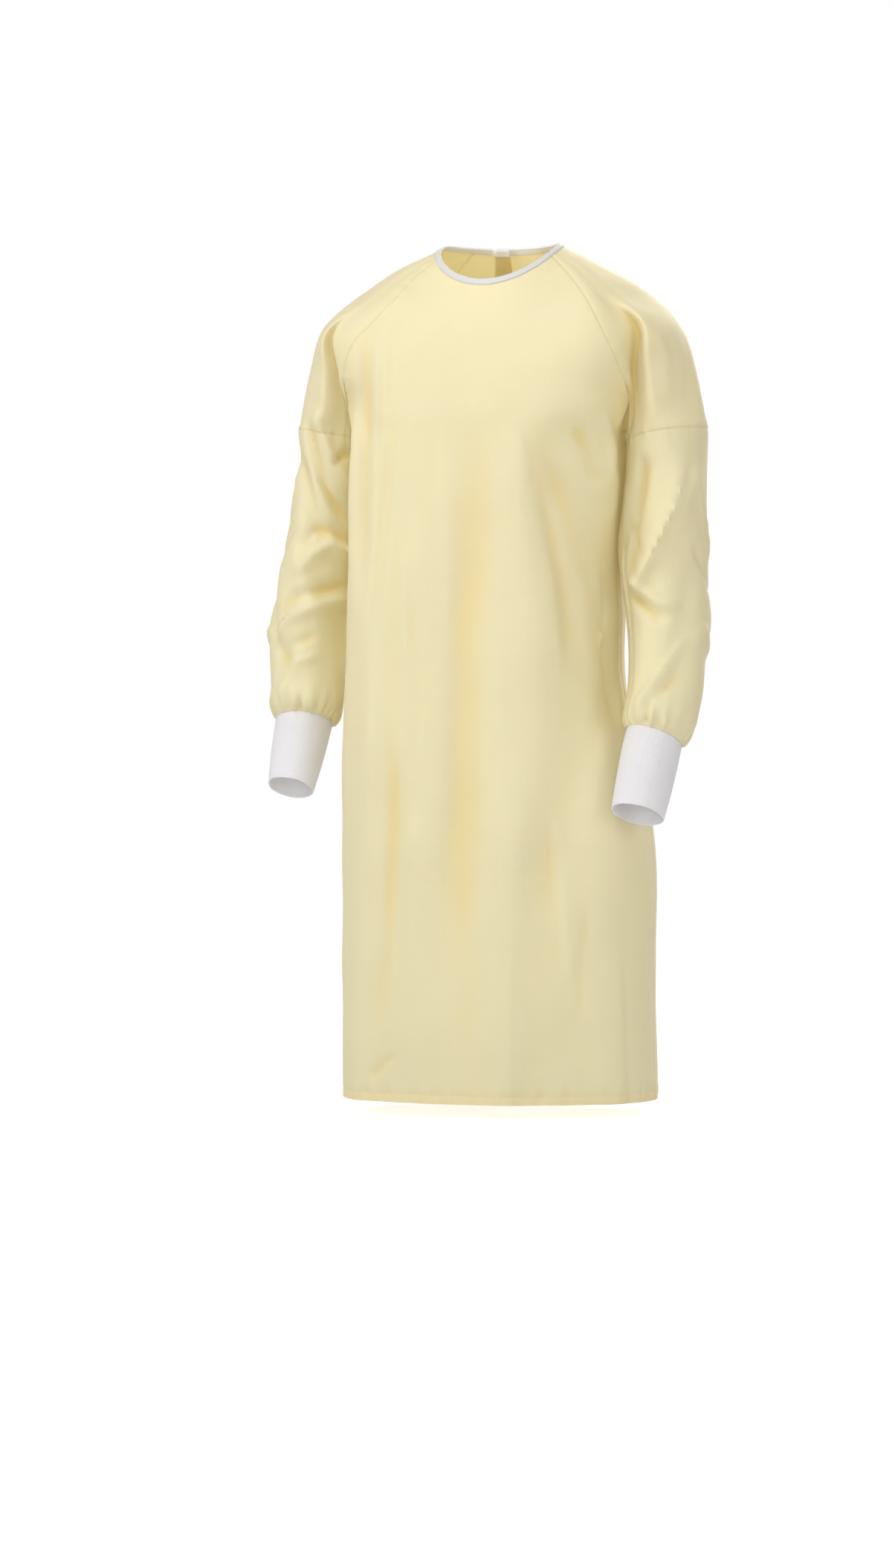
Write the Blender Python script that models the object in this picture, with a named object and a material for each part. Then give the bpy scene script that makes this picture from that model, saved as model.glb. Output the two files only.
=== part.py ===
"""Isolation gown: a long raglan-sleeved cover gown of thin woven cloth, filled out as if worn.

The wearer's shoulders hold the gown up, so its origin lies in the middle of the neck opening, at the
height of the side neck points. +Z is up, the front faces -Y and the wearer's left arm is on +X.

All panels come from one surface. Its lines run from the neck down over the yoke, and on from the
underarm along the body to the hem or along a sleeve to its cuff. The tables give the sections that
the lines pass through, in millimetres, and each panel is a wall built inwards from that surface.
"""

import math

import bpy
import numpy as np
from mathutils import Vector

MM = 0.001

# Driving sizes in millimetres.
CLOTH = 1.2
SEAM_GAP = 0.3
HEM_HEIGHT = 12.0
HEM_WALL = 2.4
HEM_STEP = 1.0
BINDING_HEIGHT = 8.5
BINDING_WALL = 1.0
CUFF_WALL = 1.8
STUD_RADIUS = 5.5
STUD_HEIGHT = 2.0
STUD_LIFT = 0.2
GATHER_DEPTH = 2.2
GATHER_LENGTH = 50.0
GATHER_RISE = 0.8
GATHER_END = 6.0
CUFF_BULGE = 1.2
ARM_SEAM_TILT = 8.0
SLEEVE_RADIUS = 55.0
HEM_Z = -1107.0
BINDING_ROW = 9.0

# Neck opening: half width, half depth, and how far the front lies below the sides and the back.
NECK_HALF_WIDTH = 78.0
NECK_HALF_DEPTH = 75.0
NECK_TOP = 4.0
NECK_DROP = 56.0
# The neck edge starts to dip where its sine falls below this level, along a curve of this power.
NECK_LEVEL = 0.35
NECK_CURVE = 1.7

# Lines down the yoke of one side, from the centre front round the arm to the centre back: name,
# neck angle, body angle and sleeve angle in degrees, and the number of columns on to the next line.
# Angle 0 is the garment's side or the sleeve's outside, and -90 is the front.
LINES = (
    ("centre_front", -90, -90, None, 6),
    ("chest", -60, -52, None, 5),
    ("front_seam", -20, -15, -145, 3),
    ("crease", -14, None, -125, 4),
    ("arm_front", -7, None, -88, 5),
    ("arm_top", 4, None, 0, 5),
    ("arm_back", 22, None, 88, 7),
    ("back_seam", 52, 15, 145, 4),
    ("back_middle", 68, 52, None, 5),
    ("centre_back", 90, 90, None, 0),
)
FRONT_LINES = (0, 1, 2)
ARM_LINES = (2, 3, 4, 5, 6, 7)
BACK_LINES = (7, 8, 9)
UNDERARM_COLUMNS = 3

# Yoke rows below the neck: length down the cloth, then x, y, z on each line of LINES (wearer's left).
YOKE = (
    ("slope", 45, (0, -92, -84), (58, -86, -76), (104, -54, -42), (110, -42, -36),
     (116, -26, -27), (127, 5, -23), (110, 42, -20), (74, 78, -16), (38, 90, -26), (0, 94, -28)),
    ("yoke", 98, (0, -110, -122), (82, -107, -112), (137, -84, -80), (156, -70, -79),
     (172, -50, -72), (196, 5, -63), (166, 62, -60), (108, 97, -52), (58, 108, -66), (0, 111, -70)),
    ("shoulder", 150, (0, -124, -162), (101, -120, -150), (166, -101, -128), (195, -60, -118),
     (214, -77, -114), (237, 4, -104), (206, 72, -106), (144, 108, -102), (78, 119, -114),
     (0, 122, -118)),
    ("upper_arm", 205, (0, -133, -196), (116, -122, -186), (182, -84, -172), (191, -45, -170),
     (219, -74, -168), (260, 3, -166), (220, 74, -166), (172, 94, -158), (98, 122, -168),
     (0, 127, -174)),
    ("underarm", 250, (0, -139, -230), (126, -119, -222), (184, -42, -208), (193, -44, -212),
     (224, -67, -218), (272, 3, -224), (226, 70, -220), (185, 52, -206), (118, 113, -216),
     (0, 129, -222)),
)
# On the wearer's right the front seam and the crease beside it run a little differently on these rows.
RIGHT_POINTS = {
    ("slope", "front_seam"): (-98, -56, -44),
    ("yoke", "front_seam"): (-122, -88, -80),
    ("shoulder", "crease"): (-203, -74, -117),
    ("upper_arm", "front_seam"): (-186, -84, -172),
    ("upper_arm", "crease"): (-201, -60, -170),
    ("underarm", "front_seam"): (-190, -52, -206),
    ("underarm", "crease"): (-198, -46, -212),
}

# Middle of each underarm, where body, sleeve and side seams meet, and the lengths of the yoke rows.
UNDERARM_X = {1: 166.5, -1: -171.5}
UNDERARM_Z = -244.0
UNDERARM_TURN = 0.35
NECK_LENGTH = 0.0
UNDERARM_LENGTH = 250.0
YOKE_ROW_COUNTS = (1, 1, 2, 2, 2, 2)

# Body sections: length down the cloth, z, half widths of the left and the right side, y of the widest
# point on each side, front and back depth, squareness of the outline (1 is an ellipse), and rows.
BODY = (
    ("turn", 290, -257, 168, 164, 0, -38, 139, 127, 0.78, 2),
    ("chest", 334, -300, 168, 176, 4, -52, 139, 126, 0.80, 2),
    ("ribs", 434, -398, 157, 182, 10, -52, 140, 125, 0.84, 2),
    ("waist", 518, -480, 161, 187, 8, -50, 141, 126, 0.86, 2),
    ("hip", 588, -550, 162, 192, 4, -45, 143, 129, 0.87, 2),
    ("low_hip", 690, -650, 181, 198, 0, -34, 146, 134, 0.88, 2),
    ("thigh", 802, -760, 202, 202, 0, -20, 149, 141, 0.90, 2),
    ("knee", 974, -930, 206, 205, 0, -8, 151, 147, 0.92, 3),
    ("hem", 1153, HEM_Z, 207, 207, 0, 0, 152, 150, 0.94, 3),
)

# Just below the wearer's right arm the front stands out at its corner: how far, on these sections,
# round this angle and over this many degrees to each side.
RIGHT_CORNER = {"turn": 15, "chest": 5}
CORNER_ANGLE = -22
CORNER_WIDTH = 20

# Sleeve sections: length down the cloth, centre x, y, z, half width, half depth, and rows.
LEFT_SLEEVE = (
    ("arm_seam", 290, 223, 6, -250, 51, 67, 2),
    ("upper_arm", 332, 222, 8, -290, 52, 67, 2),
    ("above_elbow", 400, 218, 9, -357, 55, 67, 2),
    ("elbow", 440, 216, 10, -396, 58, 66, 1),
    ("below_elbow", 480, 219, 6, -435, 56, 65, 1),
    ("forearm", 530, 225, -4, -483, 53, 62, 2),
    ("mid_forearm", 592, 229, -22, -541, 49, 57, 2),
    ("gather_top", 646, 229, -42, -592, 47, 52, 2),
    ("gather", 688, 223, -58, -632, 42, 44, 3),
    ("wrist", 697, 221, -61, -640, 37, 38, 1),
)
RIGHT_SLEEVE = (
    ("arm_seam", 290, -226, 12, -242, 46, 70, 2),
    ("upper_arm", 332, -227, 14, -290, 46, 69, 2),
    ("above_elbow", 400, -236, 15, -357, 49, 67, 2),
    ("elbow", 440, -244, 13, -396, 50, 66, 1),
    ("below_elbow", 480, -251, 9, -435, 51, 64, 1),
    ("forearm", 530, -258, 2, -483, 52, 62, 2),
    ("mid_forearm", 580, -257, -8, -530, 51, 58, 2),
    ("gather_top", 628, -255, -18, -574, 49, 53, 2),
    ("gather", 668, -256, -30, -610, 43, 45, 3),
    ("wrist", 677, -256, -33, -618, 37, 38, 1),
)
# Cuffs: the cuff starts at the wrist section and ends at this centre, half width and half depth.
CUFF_ENDS = {"left": (209, -103, -738, 34, 35), "right": (-262, -72, -704, 30, 33)}
CUFF_ROWS = 3

# The right back panel passes under the left one. Columns are counted from the centre back on the
# wearer's right: the right panel ends at the first, and the left panel reaches to the second.
RIGHT_PANEL_END = 1
LEFT_PANEL_END = 4
OVERLAP_DEPTH = 2.9
NECK_OVERLAP_DEPTH = 4.2
OVERLAP_EASE = 27.0
STUD_ROWS = (2, 9, 15)

# A fold rises over this part of its length at each end, unless it runs out over the hem.
FOLD_FADE = 0.3

# Soft folds of the body: face, x and z at the top, x and z at the bottom, half width, height.
BODY_FOLDS = (
    ("front", -146, -90, -168, -560, 22, 7.0),
    ("front", -124, -300, -150, -1107, 26, 8.0),
    ("front", -150, -130, -156, -420, 15, -5.0),
    ("front", -104, -600, -128, -1107, 26, -8.0),
    ("front", -62, -250, -74, -1000, 32, 7.0),
    ("front", 2, -240, -30, -1000, 28, -8.0),
    ("front", 40, -220, 96, -640, 30, 8.0),
    ("front", 80, -240, 148, -600, 26, -12.0),
    ("front", 146, -520, 98, -900, 32, -9.0),
    ("front", 58, -640, 40, -1107, 32, 8.0),
    ("front", 166, -640, 172, -1107, 22, 6.0),
    ("front", 150, -160, 158, -420, 18, 5.0),
    ("back", -158, -250, -170, -1107, 28, -7.0),
    ("back", 128, -240, 150, -1107, 30, 8.0),
    ("back", 84, -260, 98, -1107, 28, -8.0),
    ("back", 168, -420, 178, -1000, 24, -6.0),
    ("back", 40, -420, 30, -1107, 30, 5.0),
)

# Soft folds of the sleeves: side, angle and z at the top, angle and z at the bottom, half width in
# millimetres, height.
SLEEVE_FOLDS = (
    ("left", -10, -262, -118, -470, 17, 7.0),
    ("left", -100, -275, -150, -430, 15, -7.0),
    ("left", -30, -380, -70, -620, 18, -5.0),
    ("left", 60, -280, 140, -480, 18, -6.0),
    ("left", 20, -450, 80, -620, 18, 5.0),
    ("right", -20, -250, -120, -400, 15, -8.0),
    ("right", -60, -380, -140, -520, 15, 7.0),
    ("right", 10, -400, -90, -580, 16, -7.0),
    ("right", 60, -280, 140, -480, 18, -6.0),
    ("right", 30, -470, 100, -600, 18, 5.0),
)

# Colours of the materials: cloth, white rib knit and binding, and the studs.
CLOTH_COLOUR = (0.83, 0.76, 0.50, 1.0)
WHITE_COLOUR = (0.80, 0.80, 0.84, 1.0)
STUD_COLOUR = (0.85, 0.84, 0.80, 1.0)


def clear_scene():
    """Remove whatever objects the open file holds."""
    for thing in list(bpy.data.objects):
        bpy.data.objects.remove(thing, do_unlink=True)


def make_material(name, colour, roughness):
    """One plain surface with the part's colour."""
    material = bpy.data.materials.new(name)
    material.use_nodes = True
    shader = material.node_tree.nodes["Principled BSDF"]
    shader.inputs["Base Color"].default_value = colour
    shader.inputs["Roughness"].default_value = roughness
    shader.inputs["Metallic"].default_value = 0.0
    return material


def slopes_of(keys, points):
    """Slope of a smooth curve at each of its points, from the two neighbouring stretches."""
    step = np.diff(keys)[(slice(None),) + (None,) * (points.ndim - 1)]
    rate = np.diff(points, axis=0) / step
    middle = (rate[:-1] * step[1:] + rate[1:] * step[:-1]) / (step[:-1] + step[1:])
    return np.concatenate([rate[:1], middle, rate[-1:]])


def curve_through(keys, points, slopes, at):
    """Cubic curve through points with the given slopes, read at the lengths in at."""
    at = np.asarray(at, dtype=float)
    piece = np.clip(np.searchsorted(keys, at, side="right") - 1, 0, len(keys) - 2)
    step = keys[piece + 1] - keys[piece]
    shape = (slice(None),) + (None,) * (points.ndim - 1)
    t = ((at - keys[piece]) / step)[shape]
    step = step[shape]
    start, end = points[piece], points[piece + 1]
    start_slope, end_slope = slopes[piece] * step, slopes[piece + 1] * step
    return ((2 * t**3 - 3 * t**2 + 1) * start + (t**3 - 2 * t**2 + t) * start_slope
            + (3 * t**2 - 2 * t**3) * end + (t**3 - t**2) * end_slope)


def smooth(t):
    """Ease from 0 to 1 as t goes from 0 to 1."""
    t = np.clip(t, 0.0, 1.0)
    return t * t * (3 - 2 * t)


def rows_between(keys, counts):
    """Lengths of the mesh rows: each stretch between two keys has its own number of rows."""
    rows = [keys[0]]
    for start, end, count in zip(keys[:-1], keys[1:], counts):
        rows.extend(np.linspace(start, end, count + 1)[1:])
    return np.array(rows)


def line_positions(lines):
    """Position of each mesh column on the scale where the named lines are whole numbers."""
    positions = [float(lines[0])]
    for line in lines[:-1]:
        count = LINES[line][4]
        positions.extend(line + np.arange(1, count + 1) / count)
    return np.array(positions)


def angles_at(positions, lines, item):
    """Angle of each column, from the angles in the given place of the rows of LINES."""
    return np.radians(np.interp(positions, lines, [LINES[line][item] for line in lines]))


def neck_ring(angles, side):
    """Points of the neck edge: an ellipse whose front dips below the sides."""
    front = np.clip((NECK_LEVEL - np.sin(angles)) / (1 + NECK_LEVEL), 0.0, 1.0)
    height = NECK_TOP - NECK_DROP * front**NECK_CURVE
    return np.stack([side * NECK_HALF_WIDTH * np.cos(angles), NECK_HALF_DEPTH * np.sin(angles), height], -1)


def yoke_rows(side):
    """The yoke's named rows on all columns of one side, shaped (row, column, xyz)."""
    positions = line_positions(range(len(LINES)))
    rows = [neck_ring(angles_at(positions, range(len(LINES)), 1), side)]
    for row in YOKE:
        points = np.array(row[2:], dtype=float)
        points[:, 0] *= side
        for place, line in enumerate(LINES):
            if side < 0 and (row[0], line[0]) in RIGHT_POINTS:
                points[place] = RIGHT_POINTS[row[0], line[0]]
        mirror = np.array([-1.0, 1.0, 1.0])
        ringed = np.concatenate([points[1:2] * mirror, points, points[-2:-1] * mirror])
        keys = np.arange(-1, len(LINES) + 1, dtype=float)
        rows.append(curve_through(keys, ringed, slopes_of(keys, ringed), positions))
    return np.array(rows)


def body_rings(side, angles):
    """The body's sections on the columns at these angles, shaped (section, column, xyz)."""
    rings = []
    corner = math.radians(CORNER_ANGLE)
    bulge = np.exp(-((angles - corner) / math.radians(CORNER_WIDTH)) ** 2)
    for name, _, z, left, right, left_y, right_y, front, back, squareness, _ in BODY:
        half_width, middle = (left, left_y) if side > 0 else (right, right_y)
        across = np.abs(np.cos(angles)) ** squareness
        along = np.sign(np.sin(angles)) * np.abs(np.sin(angles)) ** squareness
        depth = np.where(along < 0, front + middle, back - middle)
        ring = np.stack([side * half_width * across, middle + depth * along, np.full(len(angles), z)], -1)
        if side < 0:
            out = RIGHT_CORNER.get(name, 0) * bulge
            ring[:, 0] -= out * math.cos(corner)
            ring[:, 1] += out * math.sin(corner)
        rings.append(ring)
    return np.array(rings)


def sleeve_frame(centres):
    """Directions across and through the sleeve at each of its centres, square to its line."""
    down = np.gradient(centres, axis=0)
    down[0] = (0.0, 0.0, -1.0)
    down /= np.linalg.norm(down, axis=1, keepdims=True)
    through = np.array([0.0, 1.0, 0.0]) - down[:, 1:2] * down
    through /= np.linalg.norm(through, axis=1, keepdims=True)
    return np.cross(through, -down), through


def sleeve_rings(side, angles):
    """The sleeve's sections on the columns at these angles, shaped (section, column, xyz)."""
    table = LEFT_SLEEVE if side > 0 else RIGHT_SLEEVE
    numbers = np.array([row[1:7] for row in table], dtype=float)
    centres = numbers[:, 1:4]
    across, through = sleeve_frame(centres)
    width = numbers[:, 4, None, None] * np.cos(angles)[None, :, None] * side
    depth = numbers[:, 5, None, None] * np.sin(angles)[None, :, None]
    rings = centres[:, None] + across[:, None] * width + through[:, None] * depth
    rings[0, :, 2] += ARM_SEAM_TILT * np.cos(angles)
    return rings


def underarm_curve(front_seam, back_seam, side, part):
    """Curve under the arm from the front seam to the back seam, sagging to the underarm point."""
    middle = np.array([UNDERARM_X[side], 0.5 * (front_seam[1] + back_seam[1]), UNDERARM_Z])
    t = np.asarray(part)[:, None]
    chord = front_seam * (1 - t) + back_seam * t
    sag = (middle - 0.5 * (front_seam + back_seam)) * np.sin(math.pi * t)
    return chord + sag


def body_fold_heights(points, face):
    """How far the soft folds of one face push each of the body's points outwards."""
    heights = np.zeros(points.shape[:-1])
    for fold_face, x_top, z_top, x_bottom, z_bottom, half_width, height in BODY_FOLDS:
        if fold_face != face:
            continue
        part = (points[..., 2] - z_top) / (z_bottom - z_top)
        line = x_top + (x_bottom - x_top) * np.clip(part, 0, 1)
        fade = smooth(part / FOLD_FADE)
        if z_bottom > HEM_Z:
            fade = fade * smooth((1.0 - part) / FOLD_FADE)
        heights += height * np.exp(-((points[..., 0] - line) / half_width) ** 2) * fade
    return heights


def sleeve_fold_heights(points, angles, lengths, wrist, side):
    """How far the sleeve's soft folds and the gathers above its cuff push each point outwards."""
    heights = np.zeros(points.shape[:-1])
    turned = np.degrees(angles)[None, :]
    name = "left" if side > 0 else "right"
    for fold_side, top, z_top, bottom, z_bottom, half_width, height in SLEEVE_FOLDS:
        if fold_side != name:
            continue
        part = (points[..., 2] - z_top) / (z_bottom - z_top)
        line = top + (bottom - top) * np.clip(part, 0, 1)
        off = (turned - line + 180) % 360 - 180
        across = np.radians(off) * SLEEVE_RADIUS / half_width
        fade = smooth(part / FOLD_FADE) * smooth((1.0 - part) / FOLD_FADE)
        heights += height * np.exp(-across**2) * fade
    waves = np.where(np.arange(len(angles)) % 2, 1.0, -1.0)
    gathered = smooth((lengths - wrist + GATHER_LENGTH) / GATHER_LENGTH / GATHER_RISE)
    gathered = gathered * smooth((wrist - lengths) / GATHER_END)
    return heights + GATHER_DEPTH * gathered[:, None] * waves[None, :]


def build_side(side):
    """All patches of one side, each a grid of points with the lengths of its rows and its fold heights."""
    front, arm, back = line_positions(FRONT_LINES), line_positions(ARM_LINES), line_positions(BACK_LINES)
    yoke = yoke_rows(side)
    seam, back_seam = len(front) - 1, len(front) + len(arm) - 2
    under = np.linspace(0.0, 1.0, 2 * UNDERARM_COLUMNS + 1)
    under_row = underarm_curve(yoke[-1, seam], yoke[-1, back_seam], side, under)
    table = LEFT_SLEEVE if side > 0 else RIGHT_SLEEVE
    top_keys = np.array([NECK_LENGTH] + [row[1] for row in YOKE], dtype=float)
    body_keys = np.array([UNDERARM_LENGTH] + [row[1] for row in BODY], dtype=float)
    sleeve_keys = np.array([UNDERARM_LENGTH] + [row[1] for row in table], dtype=float)
    whole_body = np.concatenate([top_keys, body_keys[1:]])
    whole_sleeve = np.concatenate([top_keys, sleeve_keys[1:]])
    front_angles, back_angles = angles_at(front, FRONT_LINES, 2), angles_at(back, BACK_LINES, 2)
    arm_angles = angles_at(arm, ARM_LINES, 3)
    side_angles = np.radians(np.linspace(LINES[FRONT_LINES[-1]][2], LINES[BACK_LINES[0]][2], len(under)))
    inner_angles = np.radians(np.linspace(LINES[ARM_LINES[0]][3], LINES[ARM_LINES[-1]][3] - 360, len(under)))
    curves = {
        "front": (whole_body, np.concatenate([yoke[:, :seam + 1], body_rings(side, front_angles)])),
        "back": (whole_body, np.concatenate([yoke[:, back_seam:], body_rings(side, back_angles)])),
        "arm": (whole_sleeve, np.concatenate([yoke[:, seam:back_seam + 1], sleeve_rings(side, arm_angles)])),
        "body_under": (body_keys, np.concatenate([under_row[None], body_rings(side, side_angles)])),
        "arm_under": (sleeve_keys, np.concatenate([under_row[None], sleeve_rings(side, inner_angles)])),
    }
    slopes = {name: slopes_of(*curve) for name, curve in curves.items()}
    last = len(top_keys) - 1
    for body, column, end in (("front", -1, 0), ("back", 0, -1)):
        shared = 0.5 * (slopes[body][last, column] + slopes["arm"][last, end])
        slopes[body][last, column] = shared
        slopes["arm"][last, end] = shared
        slopes["body_under"][0, end] = shared
        slopes["arm_under"][0, end] = shared
    turned = np.sin(math.pi * under)[:, None]
    level = np.array([side * UNDERARM_TURN, 0.0, 0.0])
    slopes["body_under"][0] = slopes["body_under"][0] * (1 - turned) - level * turned
    slopes["arm_under"][0] = slopes["arm_under"][0] * (1 - turned) + level * turned
    top_at = rows_between(np.insert(top_keys, 1, BINDING_ROW), YOKE_ROW_COUNTS)
    body_at = rows_between(body_keys, [row[-1] for row in BODY])
    body_at = np.concatenate([body_at[:-1], body_at[-1] - np.array([HEM_HEIGHT + HEM_STEP, HEM_HEIGHT, 0.0])])
    sleeve_at = rows_between(sleeve_keys, [row[-1] for row in table])
    lengths = {
        "front": np.concatenate([top_at, body_at[1:]]),
        "back": np.concatenate([top_at, body_at[1:]]),
        "arm": np.concatenate([top_at, sleeve_at[1:]]),
        "body_under": body_at,
        "arm_under": sleeve_at,
    }
    patches = {}
    for name, (keys, points) in curves.items():
        grid = curve_through(keys, points, slopes[name], lengths[name])
        if name in ("front", "back"):
            heights = body_fold_heights(grid, name)
        elif name == "body_under":
            heights = np.zeros(grid.shape[:-1])
            heights[:, 0] = body_fold_heights(grid[:, 0], "front")
            heights[:, -1] = body_fold_heights(grid[:, -1], "back")
        else:
            angles = arm_angles if name == "arm" else inner_angles
            heights = sleeve_fold_heights(grid, angles, lengths[name], sleeve_keys[-1], side)
        patches[name] = (grid, lengths[name], heights)
    return patches


class Surface:
    """The whole gown as one surface: shared points, outward normals and the grids that number them."""

    def __init__(self):
        self.grids = {}
        self.lengths = {}
        points, heights, shapes = [], [], []
        for side in (1, -1):
            patches = build_side(side)
            for name in ("arm", "arm_under", "front", "body_under", "back"):
                grid, lengths, height = patches[name]
                shapes.append((side, name, grid.shape[:2]))
                self.lengths[side, name] = lengths
                points.append(grid.reshape(-1, 3))
                heights.append(height.reshape(-1))
        points, heights = np.concatenate(points), np.concatenate(heights)
        _, first, number = np.unique(np.round(points, 3), axis=0, return_index=True, return_inverse=True)
        number = number.reshape(-1)
        start = 0
        for side, name, shape in shapes:
            count = shape[0] * shape[1]
            self.grids[side, name] = number[start:start + count].reshape(shape)
            start += count
        self.points = points[first]
        folded = np.zeros(len(first))
        folded[number] = heights
        self.normals = self.find_normals()
        self.points = self.points + self.normals * folded[:, None]
        self.normals = self.find_normals()

    def quads(self, side, name, rows=slice(None), columns=slice(None)):
        """Faces between the given rows and columns of one grid, turned outwards."""
        grid = self.grids[side, name][rows, columns]
        corners = np.stack([grid[:-1, :-1], grid[1:, :-1], grid[1:, 1:], grid[:-1, 1:]], -1).reshape(-1, 4)
        turned = (side < 0) != (name == "arm_under")
        return corners[:, ::-1] if turned else corners

    def find_normals(self):
        """Unit normal of each shared point, from all the faces round it."""
        faces = np.concatenate([self.quads(*key) for key in self.grids])
        corner = self.points[faces]
        face_normals = np.cross(corner[:, 2] - corner[:, 0], corner[:, 3] - corner[:, 1])
        face_normals /= np.linalg.norm(face_normals, axis=1, keepdims=True)
        normals = np.zeros_like(self.points)
        for k in range(4):
            np.add.at(normals, faces[:, k], face_normals)
        return normals / np.linalg.norm(normals, axis=1, keepdims=True)


def link_mesh(name, points, faces, material, collection):
    """A smooth-shaded object from points in millimetres and its faces."""
    mesh = bpy.data.meshes.new(name)
    mesh.from_pydata((points * MM).tolist(), [], [list(face) for face in faces])
    mesh.materials.append(material)
    mesh.shade_smooth()
    mesh.set_sharp_from_angle(angle=math.radians(50))
    mesh.update()
    part = bpy.data.objects.new(name, mesh)
    collection.objects.link(part)
    return part


def boundary_edges(faces):
    """Directed edges that only one face has."""
    edges = np.concatenate([np.stack([faces[:, k], faces[:, (k + 1) % 4]], 1) for k in range(4)])
    size = int(faces.max()) + 1
    forward, backward = edges[:, 0] * size + edges[:, 1], edges[:, 1] * size + edges[:, 0]
    return edges[~np.isin(forward, backward)]


def wall_faces(faces, edges, count):
    """Faces of a closed wall: the outer ones, the same on the inner points, and the rims between them.

    Each rim is split from its later outer point to its earlier inner one, so that the rims of two
    panels that meet at a seam are split alike and keep their gap.
    """
    start, end = edges[:, 0], edges[:, 1]
    rims = np.stack([end, start, start + count, end + count], 1)
    rising = start < end
    split = [rims[rising][:, [0, 1, 2]], rims[rising][:, [0, 2, 3]],
             rims[~rising][:, [0, 1, 3]], rims[~rising][:, [1, 2, 3]]]
    return faces.tolist() + (faces[:, ::-1] + count).tolist() + np.concatenate(split).tolist()


def panel_wall(surface, faces, wall, sunk=None):
    """Points and faces of a closed wall on these faces, drawn back from its edges by the seam gap.

    wall and sunk give each shared point's thickness and its depth below the surface.
    """
    used, local = np.unique(faces, return_inverse=True)
    faces = local.reshape(-1, 4)
    normals = surface.normals[used]
    outer = surface.points[used] - (0.0 if sunk is None else normals * sunk[used, None])
    edges = boundary_edges(faces)
    along = np.zeros_like(outer)
    np.add.at(along, edges[:, 0], outer[edges[:, 1]] - outer[edges[:, 0]])
    np.add.at(along, edges[:, 1], outer[edges[:, 1]] - outer[edges[:, 0]])
    inward = np.zeros_like(outer)
    centre = outer[faces].mean(axis=1)
    for k in range(4):
        np.add.at(inward, faces[:, k], centre - outer[faces[:, k]])
    rim = np.unique(edges)
    tangent = along[rim] / np.maximum(np.linalg.norm(along[rim], axis=1, keepdims=True), 1e-9)
    pull = inward[rim] - tangent * np.sum(inward[rim] * tangent, axis=1, keepdims=True)
    pull /= np.linalg.norm(pull, axis=1, keepdims=True)
    outer[rim] += pull * 0.5 * SEAM_GAP
    inner = outer - normals * wall[used, None]
    return np.concatenate([outer, inner]), wall_faces(faces, edges, len(used))


def body_walls(surface):
    """Thickness at each shared point: double in the turned-up hem, single elsewhere."""
    wall = np.full(len(surface.points), CLOTH)
    for key, grid in surface.grids.items():
        if key[1] in ("front", "back", "body_under"):
            rows = surface.lengths[key]
            wall[grid[rows > rows[-1] - HEM_HEIGHT - 0.5 * HEM_STEP]] = HEM_WALL
    return wall


def overlap_depths(surface):
    """Depth of the right back panel below the surface, where the left one lies over it."""
    sunk = np.zeros(len(surface.points))
    grid, rows = surface.grids[-1, "back"], surface.lengths[-1, "back"]
    part = smooth((rows - BINDING_ROW) / OVERLAP_EASE)
    depth = NECK_OVERLAP_DEPTH + (OVERLAP_DEPTH - NECK_OVERLAP_DEPTH) * part
    sunk[grid[:, -1 - LEFT_PANEL_END:]] = depth[:, None]
    return sunk


def build_panels(surface, cloth, collection):
    """Front, back and sleeve panels."""
    wall = body_walls(surface)
    seam_row = int(np.searchsorted(surface.lengths[1, "arm"], LEFT_SLEEVE[0][1] - 1))
    top_rows = int(np.searchsorted(surface.lengths[1, "arm"], UNDERARM_LENGTH - 1))
    front_half, back_half = slice(0, UNDERARM_COLUMNS + 1), slice(UNDERARM_COLUMNS, None)
    front = [surface.quads(side, name, columns=columns) for side in (1, -1)
             for name, columns in (("front", slice(None)), ("body_under", front_half))]
    over = slice(-1 - LEFT_PANEL_END, None)
    back_left = [surface.quads(1, "back"), surface.quads(1, "body_under", columns=back_half),
                 surface.quads(-1, "back", columns=over)]
    back_right = [surface.quads(-1, "back", columns=slice(0, -RIGHT_PANEL_END)),
                  surface.quads(-1, "body_under", columns=back_half)]
    link_mesh("front", *panel_wall(surface, np.concatenate(front), wall), cloth, collection)
    link_mesh("back_left", *panel_wall(surface, np.concatenate(back_left), wall), cloth, collection)
    sunk = overlap_depths(surface)
    link_mesh("back_right", *panel_wall(surface, np.concatenate(back_right), wall, sunk), cloth, collection)
    for side, name in ((1, "left"), (-1, "right")):
        under_row = seam_row - top_rows
        upper = [surface.quads(side, "arm", rows=slice(0, seam_row + 1)),
                 surface.quads(side, "arm_under", rows=slice(0, under_row + 1))]
        lower = [surface.quads(side, "arm", rows=slice(seam_row, None)),
                 surface.quads(side, "arm_under", rows=slice(under_row, None))]
        link_mesh("sleeve_upper_" + name, *panel_wall(surface, np.concatenate(upper), wall), cloth, collection)
        link_mesh("sleeve_lower_" + name, *panel_wall(surface, np.concatenate(lower), wall), cloth, collection)


def cuff_end(side, angles):
    """Middle and points of the cuff's open edge: an ellipse square to the line down the cuff."""
    table = LEFT_SLEEVE if side > 0 else RIGHT_SLEEVE
    x, y, z, half_width, half_depth = CUFF_ENDS["left" if side > 0 else "right"]
    middle = np.array([x, y, z], dtype=float)
    down = middle - np.array(table[-1][2:5], dtype=float)
    down /= np.linalg.norm(down)
    through = np.array([0.0, 1.0, 0.0]) - down[1] * down
    through /= np.linalg.norm(through)
    across = np.cross(through, -down)
    points = (middle + side * half_width * np.cos(angles)[:, None] * across
              + half_depth * np.sin(angles)[:, None] * through)
    return middle, points


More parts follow.
